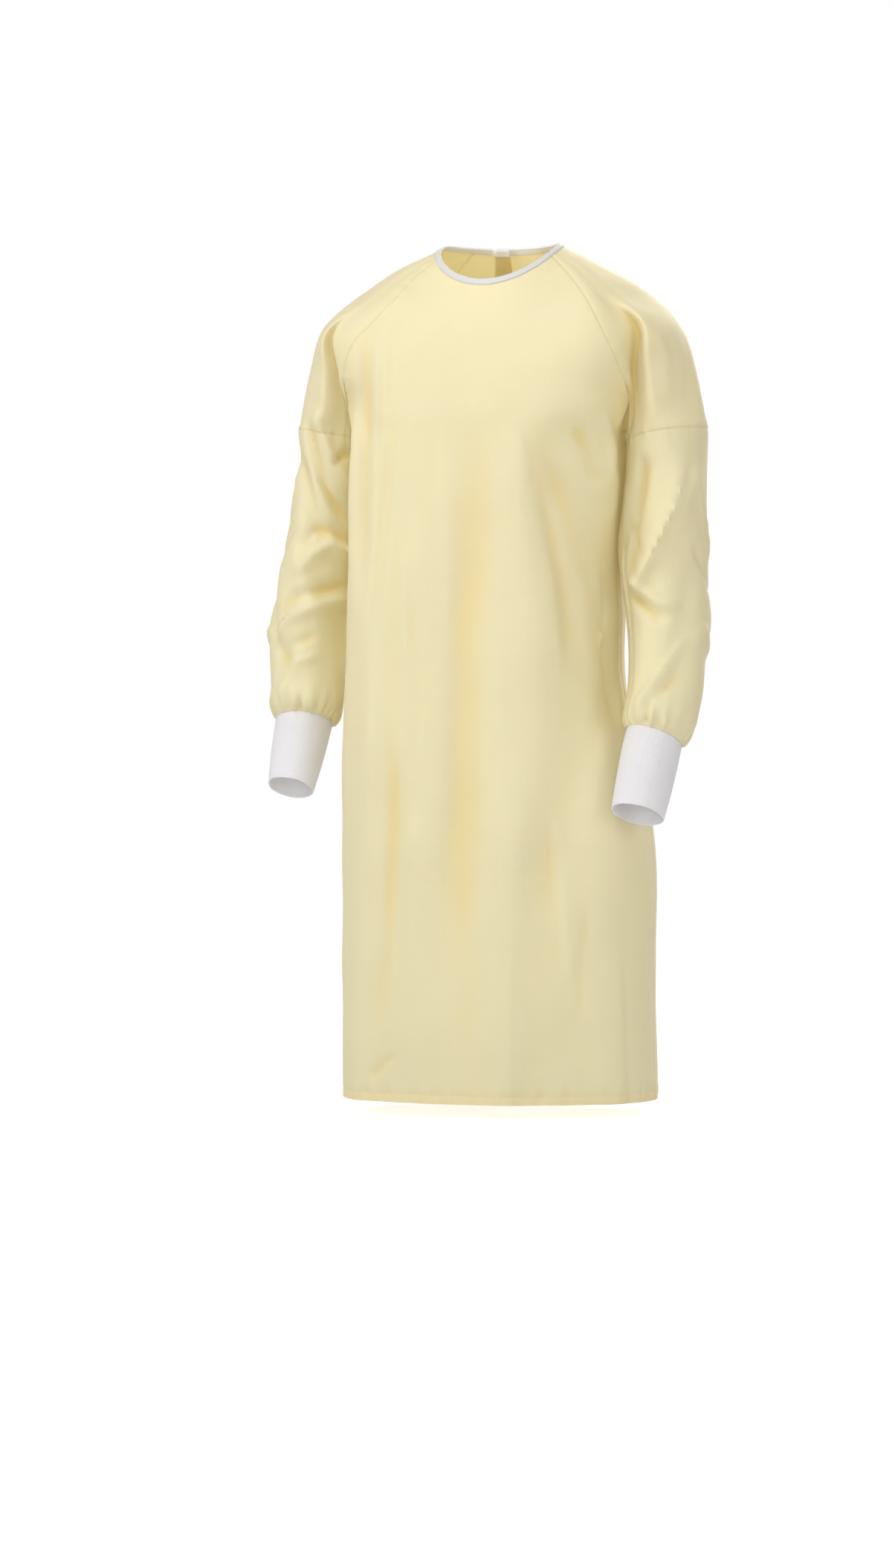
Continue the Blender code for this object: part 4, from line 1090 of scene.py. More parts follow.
def shell(name, surface, cells, wall, doubled, sunk=None):
    """A closed thin shell: the surface's faces, the same ones drawn inwards by the wall, and rims."""
    faces = np.concatenate([cell[0] for cell in cells])
    uvs = np.concatenate([cell[1] for cell in cells])
    used, local = np.unique(faces, return_inverse=True)
    local = local.reshape(-1, 4)
    normals = surface.normals[used]
    outer = surface.points[used]
    if sunk is not None:
        outer = outer - normals * sunk[used, None]
    inner = outer - normals * wall[used, None]
    count = len(used)
    edges = boundary_edges(local)
    rims = np.stack([edges[:, 1], edges[:, 0], edges[:, 0] + count, edges[:, 1] + count], 1)
    point_uv = np.zeros((count, 2))
    point_uv[local.reshape(-1)] = uvs.reshape(-1, 2)
    rim_uv = point_uv[rims % count]
    all_faces = np.concatenate([local, local[:, ::-1] + count, rims])
    all_uvs = np.concatenate([uvs, uvs[:, ::-1], rim_uv])
    inside = np.concatenate([np.zeros(count), np.ones(count)])
    values = {
        # Painted shade of the folds' deep places, on the outer side only.
        "painted_hollow_shade": np.tile(surface.painted_hollow_shade[used], 2) * (1 - inside),
        "doubled": np.tile(doubled[used], 2),
        "seam": np.tile(surface.seam[used], 2),
        "inside": inside,
    }
    return make_object(name, np.concatenate([outer, inner]), all_faces, all_uvs, values,
                       cloth_material(), sharp=50)


def hem_values(surface, sizes):
    """Thickness of the cloth at each shared point, and 1 where it lies double in the hem."""
    wall = np.full(len(surface.points), sizes.cloth_wall / MM)
    doubled = np.zeros(len(surface.points))
    for key, grid in surface.grids.items():
        if key[1] in ("front", "back", "body_under"):
            rows = surface.rows[key]
            inside = rows > rows[-1] - sizes.hem_height / MM - EDGE_MARGIN
            wall[grid[inside]] = sizes.hem_wall / MM
            doubled[grid[inside]] = 1.0
    return wall, doubled


def facing_strip(surface, doubled, end):
    """The doubled values with the turned-in strip beside a back edge, end columns from the centre."""
    doubled = doubled.copy()
    grid, across = surface.grids[-1, "back"], surface.across[-1, "back"]
    edge = -1 - end * BODY_STEPS
    away = across[:, edge][:, None] - across
    if end == LEFT_PANEL_END:
        away = -away
    doubled[grid[(away > -EDGE_MARGIN) & (away < FACING_WIDTH)]] = 1.0
    return doubled


def overlap_depths(surface):
    """Depth of the right back panel below the surface, where the left one lies over it."""
    sunk = np.zeros(len(surface.points))
    grid, rows = surface.grids[-1, "back"], surface.rows[-1, "back"]
    part = smooth((rows - BINDING_ROW) / (3 * BINDING_ROW))
    depth = NECK_OVERLAP_DEPTH + (OVERLAP_DEPTH - NECK_OVERLAP_DEPTH) * part
    columns = np.arange(grid.shape[1])
    reach = smooth((columns - (grid.shape[1] - 1 - (LEFT_PANEL_END + 1) * BODY_STEPS)) / BODY_STEPS)
    sunk[grid] = depth[:, None] * reach[None, :]
    return sunk


def mesh_area(piece):
    """Area of a closed shell's outer side in square metres: half of all its faces."""
    areas = np.zeros(len(piece.data.polygons))
    piece.data.polygons.foreach_get("area", areas)
    return float(areas.sum()) / 2


def declare_sheet(piece, cells):
    """Work out the flat cut of a panel: its widest row, its length, and the area of what it covers. Nothing
    is kept.
    """
    uvs = np.concatenate([cell[1] for cell in cells]).reshape(-1, 2)
    width, length = (float(x) for x in uvs.max(axis=0) - uvs.min(axis=0))
    area = min(mesh_area(piece), width * length)


def build_panels():
    """Front, back and sleeve panels as thin shells cut from the surface along its seams."""
    sizes = bpy.context.scene.gown_sizes
    surface = gown_surface()
    wall, doubled = hem_values(surface, sizes)
    under = surface.columns[1, "body_under"]
    middle = int(np.argmin(np.abs(under - 0.5)))
    front_half, back_half = slice(0, middle + 1), slice(middle, None)
    over = slice(-1 - LEFT_PANEL_END * BODY_STEPS, None)
    kept = slice(0, -RIGHT_PANEL_END * BODY_STEPS)
    front = [surface.cells(side, name, columns=columns) for side in (1, -1)
             for name, columns in (("front", slice(None)), ("body_under", front_half))]
    back_left = [surface.cells(1, "back"), surface.cells(1, "body_under", columns=back_half),
                 surface.cells(-1, "back", columns=over)]
    back_right = [surface.cells(-1, "back", columns=kept),
                  surface.cells(-1, "body_under", columns=back_half)]
    left_doubled = facing_strip(surface, doubled, LEFT_PANEL_END)
    right_doubled = facing_strip(surface, doubled, RIGHT_PANEL_END)
    panels = (
        ("front", front, doubled, None),
        ("back_left", back_left, left_doubled, None),
        ("back_right", back_right, right_doubled, overlap_depths(surface)),
    )
    for name, cells, double, sunk in panels:
        piece = attach(shell("cloth_" + name, surface, cells, wall, double, sunk), "gown_cloth", name)
        declare_sheet(piece, cells)
    for side, name in SIDE_NAMES.items():
        rows = surface.rows[side, "arm"]
        seam = int(np.argmin(np.abs(rows - ARM_SEAM_LENGTH)))
        under_seam = seam - (len(rows) - len(surface.rows[side, "arm_under"]))
        for part, top, below in (("upper", slice(0, seam + 1), slice(0, under_seam + 1)),
                                 ("lower", slice(seam, None), slice(under_seam, None))):
            cells = [surface.cells(side, "arm", rows=top),
                     surface.cells(side, "arm_under", rows=below, columns=front_half),
                     surface.cells(side, "arm_under", rows=below, columns=back_half)]
            node = "sleeve_" + part + "_" + name
            piece = attach(shell("cloth_" + node, surface, cells, wall, doubled), "gown_cloth", node)
            declare_sheet(piece, cells)


def ring_faces(rows, count, closed_rows=False):
    """Faces of a tube of rows by count points, each row closed on itself."""
    last = rows if closed_rows else rows - 1
    row, column = np.meshgrid(np.arange(last), np.arange(count), indexing="ij")
    below, beside = (row + 1) % rows, (column + 1) % count
    return np.stack([row * count + column, below * count + column, below * count + beside,
                     row * count + beside], -1).reshape(-1, 4)


def resample_ring(points, count):
    """A closed ring of points taken at count places evenly spaced along its length."""
    closed = np.concatenate([points, points[:1]])
    at = np.concatenate([[0.0], np.cumsum(np.linalg.norm(np.diff(closed, axis=0), axis=1))])
    want = np.linspace(0.0, at[-1], count, endpoint=False)
    return np.stack([np.interp(want, at, closed[:, k]) for k in range(3)], -1)


def cuff_ring(surface, side, count):
    """The sleeve's end and the wrist's edge as rings of count points, and the centre of each."""
    ring = np.concatenate([surface.grids[side, "arm"][-1], surface.grids[side, "arm_under"][-1, -2:0:-1]])
    start = resample_ring(surface.base[ring], count)
    top_centre = np.array(SLEEVES[side][-1][2:5], dtype=float)
    end_centre = np.array(CUFF_ENDS[side][:3], dtype=float)
    down = unit(end_centre - top_centre)
    through = unit(np.array([0.0, 1.0, 0.0]) - down[1] * down)
    across = np.cross(through, -down)
    ray = start - top_centre
    angles = np.arctan2(ray @ through, side * (ray @ across))[:, None]
    half_width, half_depth = CUFF_ENDS[side][3:]
    end = end_centre + side * half_width * np.cos(angles) * across + half_depth * np.sin(angles) * through
    return start, end, top_centre, end_centre


def cuff_section(wall):
    """The knit wall's section: how far down each row is, its depth below the outer side, and its swell.

    It goes down the outer side, round the half circle of the wrist edge, and up the inner side.
    """
    down = np.linspace(0.0, 1.0, CUFF_ROWS)
    edge = np.linspace(0.0, math.pi, CUFF_EDGE_ROWS)[1:-1]
    parts = np.concatenate([down, 1.0 + 0.5 * wall * np.sin(edge) / CUFF_LENGTH, down[::-1]])
    depth = np.concatenate([np.zeros(CUFF_ROWS), 0.5 * wall * (1 - np.cos(edge)), np.full(CUFF_ROWS, wall)])
    dip = CUFF_DIP * bell(parts, CUFF_DIP_REACH) * (1 - depth / wall)
    swell = CUFF_SWELL * np.sin(math.pi * np.clip(parts, 0, 1)) - dip
    return parts, depth, swell


def build_cuff(side):
    """Knit tube from the sleeve's end to the wrist: its ribs are a cosine round it."""
    sizes = bpy.context.scene.gown_sizes
    count = sizes.cuff_ribs * RIB_POINTS
    start, end, top_centre, end_centre = cuff_ring(gown_surface(), side, count)
    wall = sizes.cuff_wall / MM
    parts, depth, swell = cuff_section(wall)
    outside = 1 - depth / wall
    turns = np.arange(count) / count
    ribs = 0.5 + 0.5 * np.cos(2 * math.pi * sizes.cuff_ribs * turns)
    sag = sum(height * np.sin(2 * math.pi * waves * turns + phase) for waves, height, phase in CUFF_SAGS)
    middle = start[None] * (1 - parts[:, None, None]) + end[None] * parts[:, None, None]
    centre = top_centre + (end_centre - top_centre) * parts[:, None]
    out = (swell - depth)[:, None] + sizes.rib_depth / MM * ribs[None] * outside[:, None]
    out = out + sag[None] * np.sin(math.pi * np.clip(parts, 0, 1) * 0.5)[:, None]
    points = (middle + unit(middle - centre[:, None]) * out[..., None]).reshape(-1, 3)
    faces = ring_faces(len(parts), count, closed_rows=True)
    circle = float(np.linalg.norm(np.roll(end, -1, axis=0) - end, axis=1).sum()) * MM
    length = float(np.linalg.norm(end_centre - top_centre)) * MM
    row, column = np.divmod(np.arange(len(points)), count)
    uvs = np.stack([column / count * circle, depth[row] * MM + parts[row] * length], -1)[faces]
    wrapped = uvs[..., 0].max(axis=1) - uvs[..., 0].min(axis=1) > 0.5 * circle
    low = wrapped[:, None] & (uvs[..., 0] < 0.5 * circle)
    uvs[..., 0] = np.where(low, uvs[..., 0] + circle, uvs[..., 0])
    if side < 0:
        faces, uvs = faces[:, ::-1], uvs[:, ::-1]
    name = "cuff_" + SIDE_NAMES[side]
    piece = make_object("knit_" + name, points, faces, uvs, None, knit_material(), sharp=80)
    attach(piece, "white_knit", name)
    area = min(mesh_area(piece), circle * length)


def build_cuffs():
    """Both knit cuffs."""
    for side in (1, -1):
        build_cuff(side)


def neck_path(surface):
    """Points of the neck edge and of the row below it, and normals, from the right panel's end round."""
    left, right = surface.grids[1, "back"], surface.grids[-1, "back"]
    binding_row = int(np.argmin(np.abs(surface.rows[1, "back"] - BINDING_ROW)))
    rows = []
    for row in (0, binding_row):
        rows.append(np.concatenate([
            right[row, -1 - RIGHT_PANEL_END * BODY_STEPS:0:-1], surface.grids[-1, "arm"][row, :0:-1],
            surface.grids[-1, "front"][row, :0:-1], surface.grids[1, "front"][row],
            surface.grids[1, "arm"][row, 1:], left[row, 1:],
            right[row, -2:-2 - LEFT_PANEL_END * BODY_STEPS:-1],
        ]))
    edge, below = surface.points[rows[0]], surface.points[rows[1]]
    normals = surface.normals[rows[0]]
    sunk = overlap_depths(surface)[rows[0]]
    sunk[len(sunk) // 2:] = 0.0
    return edge - normals * sunk[:, None], below - normals * sunk[:, None], normals


def resample_path(step, *arrays):
    """Arrays along an open path, taken at evenly spaced places about step apart along the first one."""
    at = np.concatenate([[0.0], np.cumsum(np.linalg.norm(np.diff(arrays[0], axis=0), axis=1))])
    want = np.linspace(0.0, at[-1], max(2, round(at[-1] / step)) + 1)
    return want, [np.stack([np.interp(want, at, array[:, k]) for k in range(3)], -1) for array in arrays]


def binding_section(height, inside):
    """The tape's section as up and out, from its inner long edge over the neck edge to its outer one.

    Its back side, against the cloth, closes the section again. The second value is where the fold's
    middle lies, which parts the inner half from the outer one.
    """
    crest, middle = TAPE_GAP * 0.5, 0.5 * (TAPE_GAP - inside)
    radius = 0.5 * (TAPE_GAP + inside) + TAPE
    turn = np.linspace(math.pi, 0.0, 9)
    top = [(crest + radius * math.sin(t) * 0.9, middle + radius * math.cos(t)) for t in turn]
    down = np.linspace(0.0, 1.0, 7)[1:]
    outer = [(crest - height * t, TAPE_GAP + TAPE * (1 - TAPE_EDGE * t**6)) for t in down]
    inner = [(crest - height * t, -inside - TAPE * (1 - TAPE_EDGE * t**6)) for t in down[::-1]]
    low = crest - height * 0.99
    back = [(low, TAPE_GAP), (0.0, TAPE_GAP), (0.0, -inside), (low, -inside)]
    return np.array(inner + top + outer + back), middle


def build_binding():
    """Strip folded over the neck edge: a rounded U carried along the edge, its long edges drawn in."""
    sizes = bpy.context.scene.gown_sizes
    along, (edge, below, normals) = resample_path(TAPE_STEP, *neck_path(gown_surface()))
    up = unit(edge - below)
    normals = unit(normals - up * np.sum(normals * up, axis=1, keepdims=True))
    height = sizes.binding_height / MM
    section, middle = binding_section(height, sizes.cloth_wall / MM + TAPE_GAP)
    wave = TAPE_WAVE * seam_wave(along, TAPE_WAVES)
    depth = np.clip(-section[:, 0] / height, 0, 1)
    push = wave[:, None] * depth[None, :] * np.sign(section[:, 1])[None, :]
    points = (edge[:, None] + up[:, None] * section[None, :, 0:1]
              + normals[:, None] * (section[None, :, 1] + push)[..., None])
    count, sides = len(edge), len(section)
    row, column = np.meshgrid(np.arange(count - 1), np.arange(sides), indexing="ij")
    beside = (column + 1) % sides
    faces = np.stack([row * sides + column, row * sides + beside, (row + 1) * sides + beside,
                      (row + 1) * sides + column], -1).reshape(-1, 4)
    girth = np.concatenate([[0.0], np.cumsum(np.linalg.norm(np.diff(section, axis=0), axis=1))])
    point_uv = np.stack(np.broadcast_arrays(along[:, None], girth[None, :]), -1).reshape(-1, 2) * MM
    ends = [list(range(sides))[::-1], [(count - 1) * sides + k for k in range(sides)]]
    flat = np.concatenate([point_uv[faces].reshape(-1, 2)] + [point_uv[end] for end in ends])
    # The inner half, which the binding's material paints lighter as painted light.
    inside = np.tile(section[:, 1] < middle, count).astype(float)
    piece = make_object("tape_neck_binding", points.reshape(-1, 3), faces.tolist() + ends, flat,
                        {"inside": inside}, binding_material(), sharp=55)
    attach(piece, "white_knit", "neck_binding")


def build_studs():
    """Press stud caps: a domed disc with a rolled rim, turned round its middle."""
    sizes = bpy.context.scene.gown_sizes
    surface = gown_surface()
    grid, rows = surface.grids[-1, "back"], surface.rows[-1, "back"]
    radius = sizes.stud_radius / MM
    profile = np.array(STUD_PROFILE)
    turn = np.linspace(0.0, 2 * math.pi, STUD_SIDES, endpoint=False)
    for number, length in enumerate(STUD_LENGTHS, start=1):
        row = int(np.argmin(np.abs(rows - length)))
        column = -1 - (RIGHT_PANEL_END + LEFT_PANEL_END) * BODY_STEPS // 2
        spot = grid[row, column]
        normal, centre = surface.normals[spot], surface.points[spot]
        side = unit(np.cross(normal, np.array([0.0, 0.0, 1.0])))
        up = np.cross(side, normal)
        ring = np.cos(turn)[:, None] * side + np.sin(turn)[:, None] * up
        points = centre + profile[:, 0, None, None] * radius * ring[None] + profile[:, 1, None, None] * normal
        faces = ring_faces(len(profile), STUD_SIDES).tolist()
        last = (len(profile) - 1) * STUD_SIDES
        faces += [list(range(STUD_SIDES)), list(range(last, last + STUD_SIDES))[::-1]]
        piece = make_object(f"stud_cap_{number}", points.reshape(-1, 3), faces, None, None,
                            stud_material(), sharp=40)
        attach(piece, "stud_plastic", f"stud_{number}")


def stitches_along(path, normals, pitch, length, width):
    """Points and faces of a row of stitches: each a bent thread, round in section, on the path.

    A stitch spans length out of each pitch. Its thread rises as a cosine between its ends and narrows
    at them.
    """
    points, outward = resample_path(pitch, path, normals)[1]
    tangent = unit(np.gradient(points, axis=0))
    outward = unit(outward - tangent * np.sum(outward * tangent, axis=1, keepdims=True))
    beside = np.cross(outward, tangent)
    t = np.linspace(-0.5, 0.5, STITCH_POINTS)
    rise = np.cos(math.pi * t) * width * STITCH_RISE - width * STITCH_SINK
    thick = 0.5 * width * np.sqrt(np.clip(1 - (2 * t) ** 6, 0.15, 1))
    turn = np.linspace(0.0, 2 * math.pi, STITCH_POINTS, endpoint=False)
    centre = (points[:, None] + tangent[:, None] * (t * length)[None, :, None]
              + outward[:, None] * rise[None, :, None])
    ring = (beside[:, None, None] * np.cos(turn)[None, None, :, None]
            + outward[:, None, None] * np.sin(turn)[None, None, :, None])
    all_points = centre[:, :, None] + ring * thick[None, :, None, None]
    one = ring_faces(STITCH_POINTS, STITCH_POINTS)
    tips = np.array([[0, 1, 2, 3], [0, 3, 4, 4], [20, 23, 22, 21], [20, 24, 23, 23]])
    starts = (np.arange(len(points)) * STITCH_POINTS**2)[:, None, None]
    tips = (tips[None] + starts).reshape(-1, 4).tolist()
    faces = (one[None] + starts).reshape(-1, 4).tolist() + [list(dict.fromkeys(tip)) for tip in tips]
    return all_points.reshape(-1, 3), faces


def side_row(surface, side, length, patches):
    """Shared points of one row of the body on one side, from its first patch's first column round."""
    numbers = []
    for name in patches:
        rows = surface.rows[side, name]
        row = surface.grids[side, name][int(np.argmin(np.abs(rows - length)))]
        numbers.append(row if not numbers else row[1:])
    return np.concatenate(numbers)


def build_stitches():
    """Rows of stitches on the hem, the neck binding and the edge of the back lap."""
    sizes = bpy.context.scene.gown_sizes
    surface = gown_surface()
    pitch, width = sizes.stitch_length / MM, sizes.thread_width / MM
    length = STITCH_SHARE * pitch
    hem_row = BODY[-1][1] - sizes.hem_height / MM
    left = side_row(surface, 1, hem_row, ("front", "body_under", "back"))
    right = side_row(surface, -1, hem_row, ("front", "body_under", "back"))
    over = LEFT_PANEL_END * BODY_STEPS
    hem_left = np.concatenate([left, right[-2:-1 - over:-1]])
    hem_right = right[:-1 - over]
    inner = surface.grids[-1, "back"][LAP_STITCH_ROW:, -1 - over + LAP_STITCH_COLUMNS]
    binding_edge, binding_below, normals = neck_path(surface)
    up = unit(binding_edge - binding_below)
    tape = binding_edge - up * (sizes.binding_height / MM - TAPE_STITCH_INSET) + normals * TAPE_STITCH_OUT
    paths = {
        "thread_hem_left": (surface.points[hem_left], surface.normals[hem_left]),
        "thread_hem_right": (surface.points[hem_right], surface.normals[hem_right]),
        "thread_back_lap": (surface.points[inner], surface.normals[inner]),
        "thread_neck": (tape, normals),
    }
    for name, (path, outward) in paths.items():
        points, faces = stitches_along(path + outward * STITCH_LIFT, outward, pitch, length, width)
        kind, slot = ("white", "white_knit") if name == "thread_neck" else ("cloth", "gown_cloth")
        attach(make_object(name, points, faces, None, None, thread_material(kind), sharp=80), slot)


def node_group(name, inputs, outputs):
    """An empty shader node group with the given float, colour and vector sockets."""
    if name in bpy.data.node_groups:
        return bpy.data.node_groups[name], None, None
    group = bpy.data.node_groups.new(name, "ShaderNodeTree")
    for label, kind, value in inputs:
        socket = group.interface.new_socket(label, in_out="INPUT", socket_type=kind)
        if value is not None:
            socket.default_value = value
    for label, kind in outputs:
        group.interface.new_socket(label, in_out="OUTPUT", socket_type=kind)
    return group, group.nodes.new("NodeGroupInput"), group.nodes.new("NodeGroupOutput")


def put(tree, kind, settings=None, values=None, links=None):
    """Add a node, set its options and socket values, and link sockets into it."""
    node = tree.nodes.new(kind)
    for key, value in (settings or {}).items():
        setattr(node, key, value)
    for key, value in (values or {}).items():
        node.inputs[key].default_value = value
    for key, source in (links or {}).items():
        tree.links.new(source, node.inputs[key])
    return node


def math_node(tree, operation, first, second=None):
    """A Math node whose two inputs are sockets or numbers."""
    node = tree.nodes.new("ShaderNodeMath")
    node.operation = operation
    for index, value in enumerate((first, second)):
        if value is None:
            continue
        if isinstance(value, (int, float)):
            node.inputs[index].default_value = value
        else:
            tree.links.new(value, node.inputs[index])
    return node.outputs[0]


def weave_group():
    """Plain weave: threads over and under each other, as the product of two sines of the UV."""
    group, start, end = node_group(
        "plain_weave", (("UV", "NodeSocketVector", None), ("Thread", "NodeSocketFloat", 0.0006)),
        (("Height", "NodeSocketFloat"), ("Tone", "NodeSocketFloat")))
    if start is None:
        return group
    split = put(group, "ShaderNodeSeparateXYZ", links={0: start.outputs["UV"]})
    waves = []
    for axis in (0, 1):
        turns = math_node(group, "DIVIDE", split.outputs[axis], start.outputs["Thread"])
        waves.append(math_node(group, "SINE", math_node(group, "MULTIPLY", turns, math.pi)))
    over = math_node(group, "MULTIPLY", waves[0], waves[1])
    height = math_node(group, "ADD", math_node(group, "MULTIPLY", over, 0.5), 0.5)
    group.links.new(height, end.inputs["Height"])
    tones = []
    for scale in ((9.0, 900.0, 1.0), (900.0, 9.0, 1.0)):
        spread = put(group, "ShaderNodeVectorMath", {"operation": "MULTIPLY"}, {1: scale},
                     {0: start.outputs["UV"]})
        noise = put(group, "ShaderNodeTexNoise", None, {"Scale": 1.0, "Detail": 1.0},
                    {"Vector": spread.outputs[0]})
        tones.append(noise.outputs["Fac"])
    tone = math_node(group, "MULTIPLY", math_node(group, "ADD", tones[0], tones[1]), 0.5)
    group.links.new(tone, end.inputs["Tone"])
    return group


def unevenness_group():
    """Soft patches of tone and slight crumples, from noise on the piece's own coordinates."""
    group, start, end = node_group(
        "soft_unevenness", (("Scale", "NodeSocketFloat", 9.0),),
        (("Patches", "NodeSocketFloat"), ("Crumple", "NodeSocketFloat")))
    if start is None:
        return group
    place = put(group, "ShaderNodeTexCoord").outputs["Object"]
    patches = put(group, "ShaderNodeTexNoise", None, {"Detail": 3.0, "Roughness": 0.55},
                  {"Vector": place, "Scale": start.outputs["Scale"]})
    fine = math_node(group, "MULTIPLY", start.outputs["Scale"], 3.4)
    stretched = put(group, "ShaderNodeVectorMath", {"operation": "MULTIPLY"}, {1: (1.0, 1.0, 0.55)},
                    {0: place})
    crumple = put(group, "ShaderNodeTexNoise", None, {"Detail": 4.0, "Roughness": 0.5, "Distortion": 0.6},
                  {"Vector": stretched.outputs[0], "Scale": fine})
    group.links.new(patches.outputs["Fac"], end.inputs["Patches"])
    group.links.new(crumple.outputs["Fac"], end.inputs["Crumple"])
    return group


def knit_group():
    """Fine rib knit: wales across the UV and rows of loops along it, as two sines."""
    group, start, end = node_group(
        "fine_knit", (("UV", "NodeSocketVector", None), ("Wale", "NodeSocketFloat", 0.0012)),
        (("Height", "NodeSocketFloat"),))
    if start is None:
        return group
    split = put(group, "ShaderNodeSeparateXYZ", links={0: start.outputs["UV"]})
    turn = math_node(group, "DIVIDE", split.outputs[0], start.outputs["Wale"])
    wale = math_node(group, "ABSOLUTE", math_node(group, "SINE", math_node(group, "MULTIPLY", turn, math.pi)))
    rows = math_node(group, "DIVIDE", split.outputs[1], start.outputs["Wale"])
    slant = math_node(group, "ADD", math_node(group, "MULTIPLY", rows, 2 * math.pi * 1.3),
                      math_node(group, "MULTIPLY", wale, 2.2))
    loops = math_node(group, "MULTIPLY", math_node(group, "SINE", slant), 0.25)
    group.links.new(math_node(group, "ADD", wale, loops), end.inputs["Height"])
    return group


def point_value(tree, name):
    """A value that the mesh holds for each point."""
    return put(tree, "ShaderNodeAttribute", {"attribute_name": name}).outputs["Fac"]


def let_light_through(tree, shader, colour, share, inner_share):
    """Mix light that passes through the cloth into the shader: one share outside, another inside."""
    inside = point_value(tree, "inside")
    factor = math_node(tree, "ADD", math_node(tree, "MULTIPLY", inside, inner_share - share), share)
    through = put(tree, "ShaderNodeBsdfTranslucent", None, {"Color": colour})
    mixed = put(tree, "ShaderNodeMixShader", None, None,
                {0: factor, 1: shader.outputs[0], 2: through.outputs[0]})
    tree.links.new(mixed.outputs[0], tree.nodes["Material Output"].inputs["Surface"])


def new_material(name):
    """A material with its plain values from MATERIALS, its tree, its shader and its unevenness node."""
    roughness, sheen, specular, scale = MATERIALS[name]
    material = bpy.data.materials.new(name)
    material.use_nodes = True
    tree = material.node_tree
    shader = tree.nodes["Principled BSDF"]
    shader.inputs["Roughness"].default_value = roughness
    shader.inputs["Sheen Weight"].default_value = sheen
    shader.inputs["Sheen Roughness"].default_value = SHEEN_ROUGHNESS
    shader.inputs["Specular IOR Level"].default_value = specular
    uneven = put(tree, "ShaderNodeGroup", {"node_tree": unevenness_group()}, {"Scale": scale})
    return material, tree, shader, uneven


def mix_colour(tree, factor, first, second, blend="MIX"):
    """A colour Mix node between two sockets or plain colours."""
    node = tree.nodes.new("ShaderNodeMix")
    node.data_type = "RGBA"
    node.blend_type = blend
    for index, value in ((0, factor), (6, first), (7, second)):
        if isinstance(value, bpy.types.NodeSocket):
            tree.links.new(value, node.inputs[index])
        else:
            node.inputs[index].default_value = value
    return node.outputs[2]


def uv_group_node(tree, group, values):
    """A group node fed with the piece's own UV map."""
    uv = put(tree, "ShaderNodeUVMap", {"uv_map": "cloth"})
    return put(tree, "ShaderNodeGroup", {"node_tree": group}, values, {"UV": uv.outputs[0]})


def tint(tree, colour, factor_socket, low, high):
    """Colour multiplied by a grey that runs from low to high with the factor."""
    ends = {"From Min": 0.3, "From Max": 0.7, "To Min": low, "To Max": high}
    grey = put(tree, "ShaderNodeMapRange", None, ends, {"Value": factor_socket}).outputs[0]
    joined = put(tree, "ShaderNodeCombineColor", None, None, {0: grey, 1: grey, 2: grey}).outputs[0]
    return mix_colour(tree, 1.0, colour, joined, "MULTIPLY")


def set_colour(tree, shader, tone, *tints):
    """Base colour: a tone under tints, each given as a socket and its darkest and its lightest grey."""
    for factor_socket, low, high in tints:
        tone = tint(tree, tone, factor_socket, low, high)
    tree.links.new(tone, shader.inputs["Base Color"])


def raise_surface(tree, shader, *layers):
    """Bump nodes one on another, each from a height socket, a strength and a distance in metres."""
    before = {}
    for height, strength, distance in layers:
        node = put(tree, "ShaderNodeBump", None, {"Strength": strength, "Distance": distance},
                   {"Height": height} | before)
        before = {"Normal": node.outputs[0]}
    tree.links.new(before["Normal"], shader.inputs["Normal"])


@functools.lru_cache(maxsize=1)
def cloth_material():
    """Woven cloth: painted shade in its hollows, denser where it lies double, with weave and slight crumples.
    """
    colours = bpy.context.scene.gown_colours
    material, tree, shader, uneven = new_material("woven_cloth")
    weave = uv_group_node(tree, weave_group(), {"Thread": CLOTH_THREAD})
    tone = tuple(colours.cloth)
    # The first mix paints shade: a warmer, darker colour where the cloth lies deep in a fold.
    for name, share, other in (("painted_hollow_shade", HOLLOW_SHADE_SHARE, colours.painted_fold_shade),
                               ("doubled", DOUBLED_TONE, colours.doubled),
                               ("seam", SEAM_TONE, colours.seam)):
        here = math_node(tree, "MULTIPLY", point_value(tree, name), share)
        tone = mix_colour(tree, here, tone, tuple(other))
    set_colour(tree, shader, tone, (uneven.outputs["Patches"], 0.985, 1.015),
               (weave.outputs["Tone"], 0.985, 1.012))
    raise_surface(tree, shader, (uneven.outputs["Crumple"], 0.25, 0.004),
                  (weave.outputs["Height"], 0.35, 0.0001))
    let_light_through(tree, shader, tuple(colours.through), CLOTH_THROUGH, INNER_THROUGH)
    return material


@functools.lru_cache(maxsize=1)
def knit_material():
    """White rib knit with soft loops, painted a little darker in the dips between them."""
    material, tree, shader, uneven = new_material("rib_knit")
    white = tuple(bpy.context.scene.gown_colours.knit)
    knit = uv_group_node(tree, knit_group(), {"Wale": KNIT_LOOP})
    # The knit's height also darkens its dips a little: painted shade.
    set_colour(tree, shader, white, (uneven.outputs["Patches"], 0.98, 1.01),
               (knit.outputs["Height"], 0.97, 1.01))
    raise_surface(tree, shader, (knit.outputs["Height"], 0.5, 0.0003))
    let_light_through(tree, shader, white, KNIT_THROUGH, KNIT_THROUGH)
    return material


@functools.lru_cache(maxsize=1)
def binding_material():
    """White woven tape, painted lighter on the inside of the neck to stand for light there."""
    colours = bpy.context.scene.gown_colours
    material, tree, shader, uneven = new_material("binding_tape")
    weave = uv_group_node(tree, weave_group(), {"Thread": TAPE_THREAD})
    inside = point_value(tree, "inside")
    # The inner half is painted lighter: painted light on the inside of the neck.
    tone = mix_colour(tree, inside, tuple(colours.binding), tuple(colours.painted_lit_binding_inside))
    set_colour(tree, shader, tone, (uneven.outputs["Patches"], 0.97, 1.01))
    raise_surface(tree, shader, (uneven.outputs["Crumple"], 0.3, 0.0008),
                  (weave.outputs["Height"], 0.4, 0.0001))
    return material


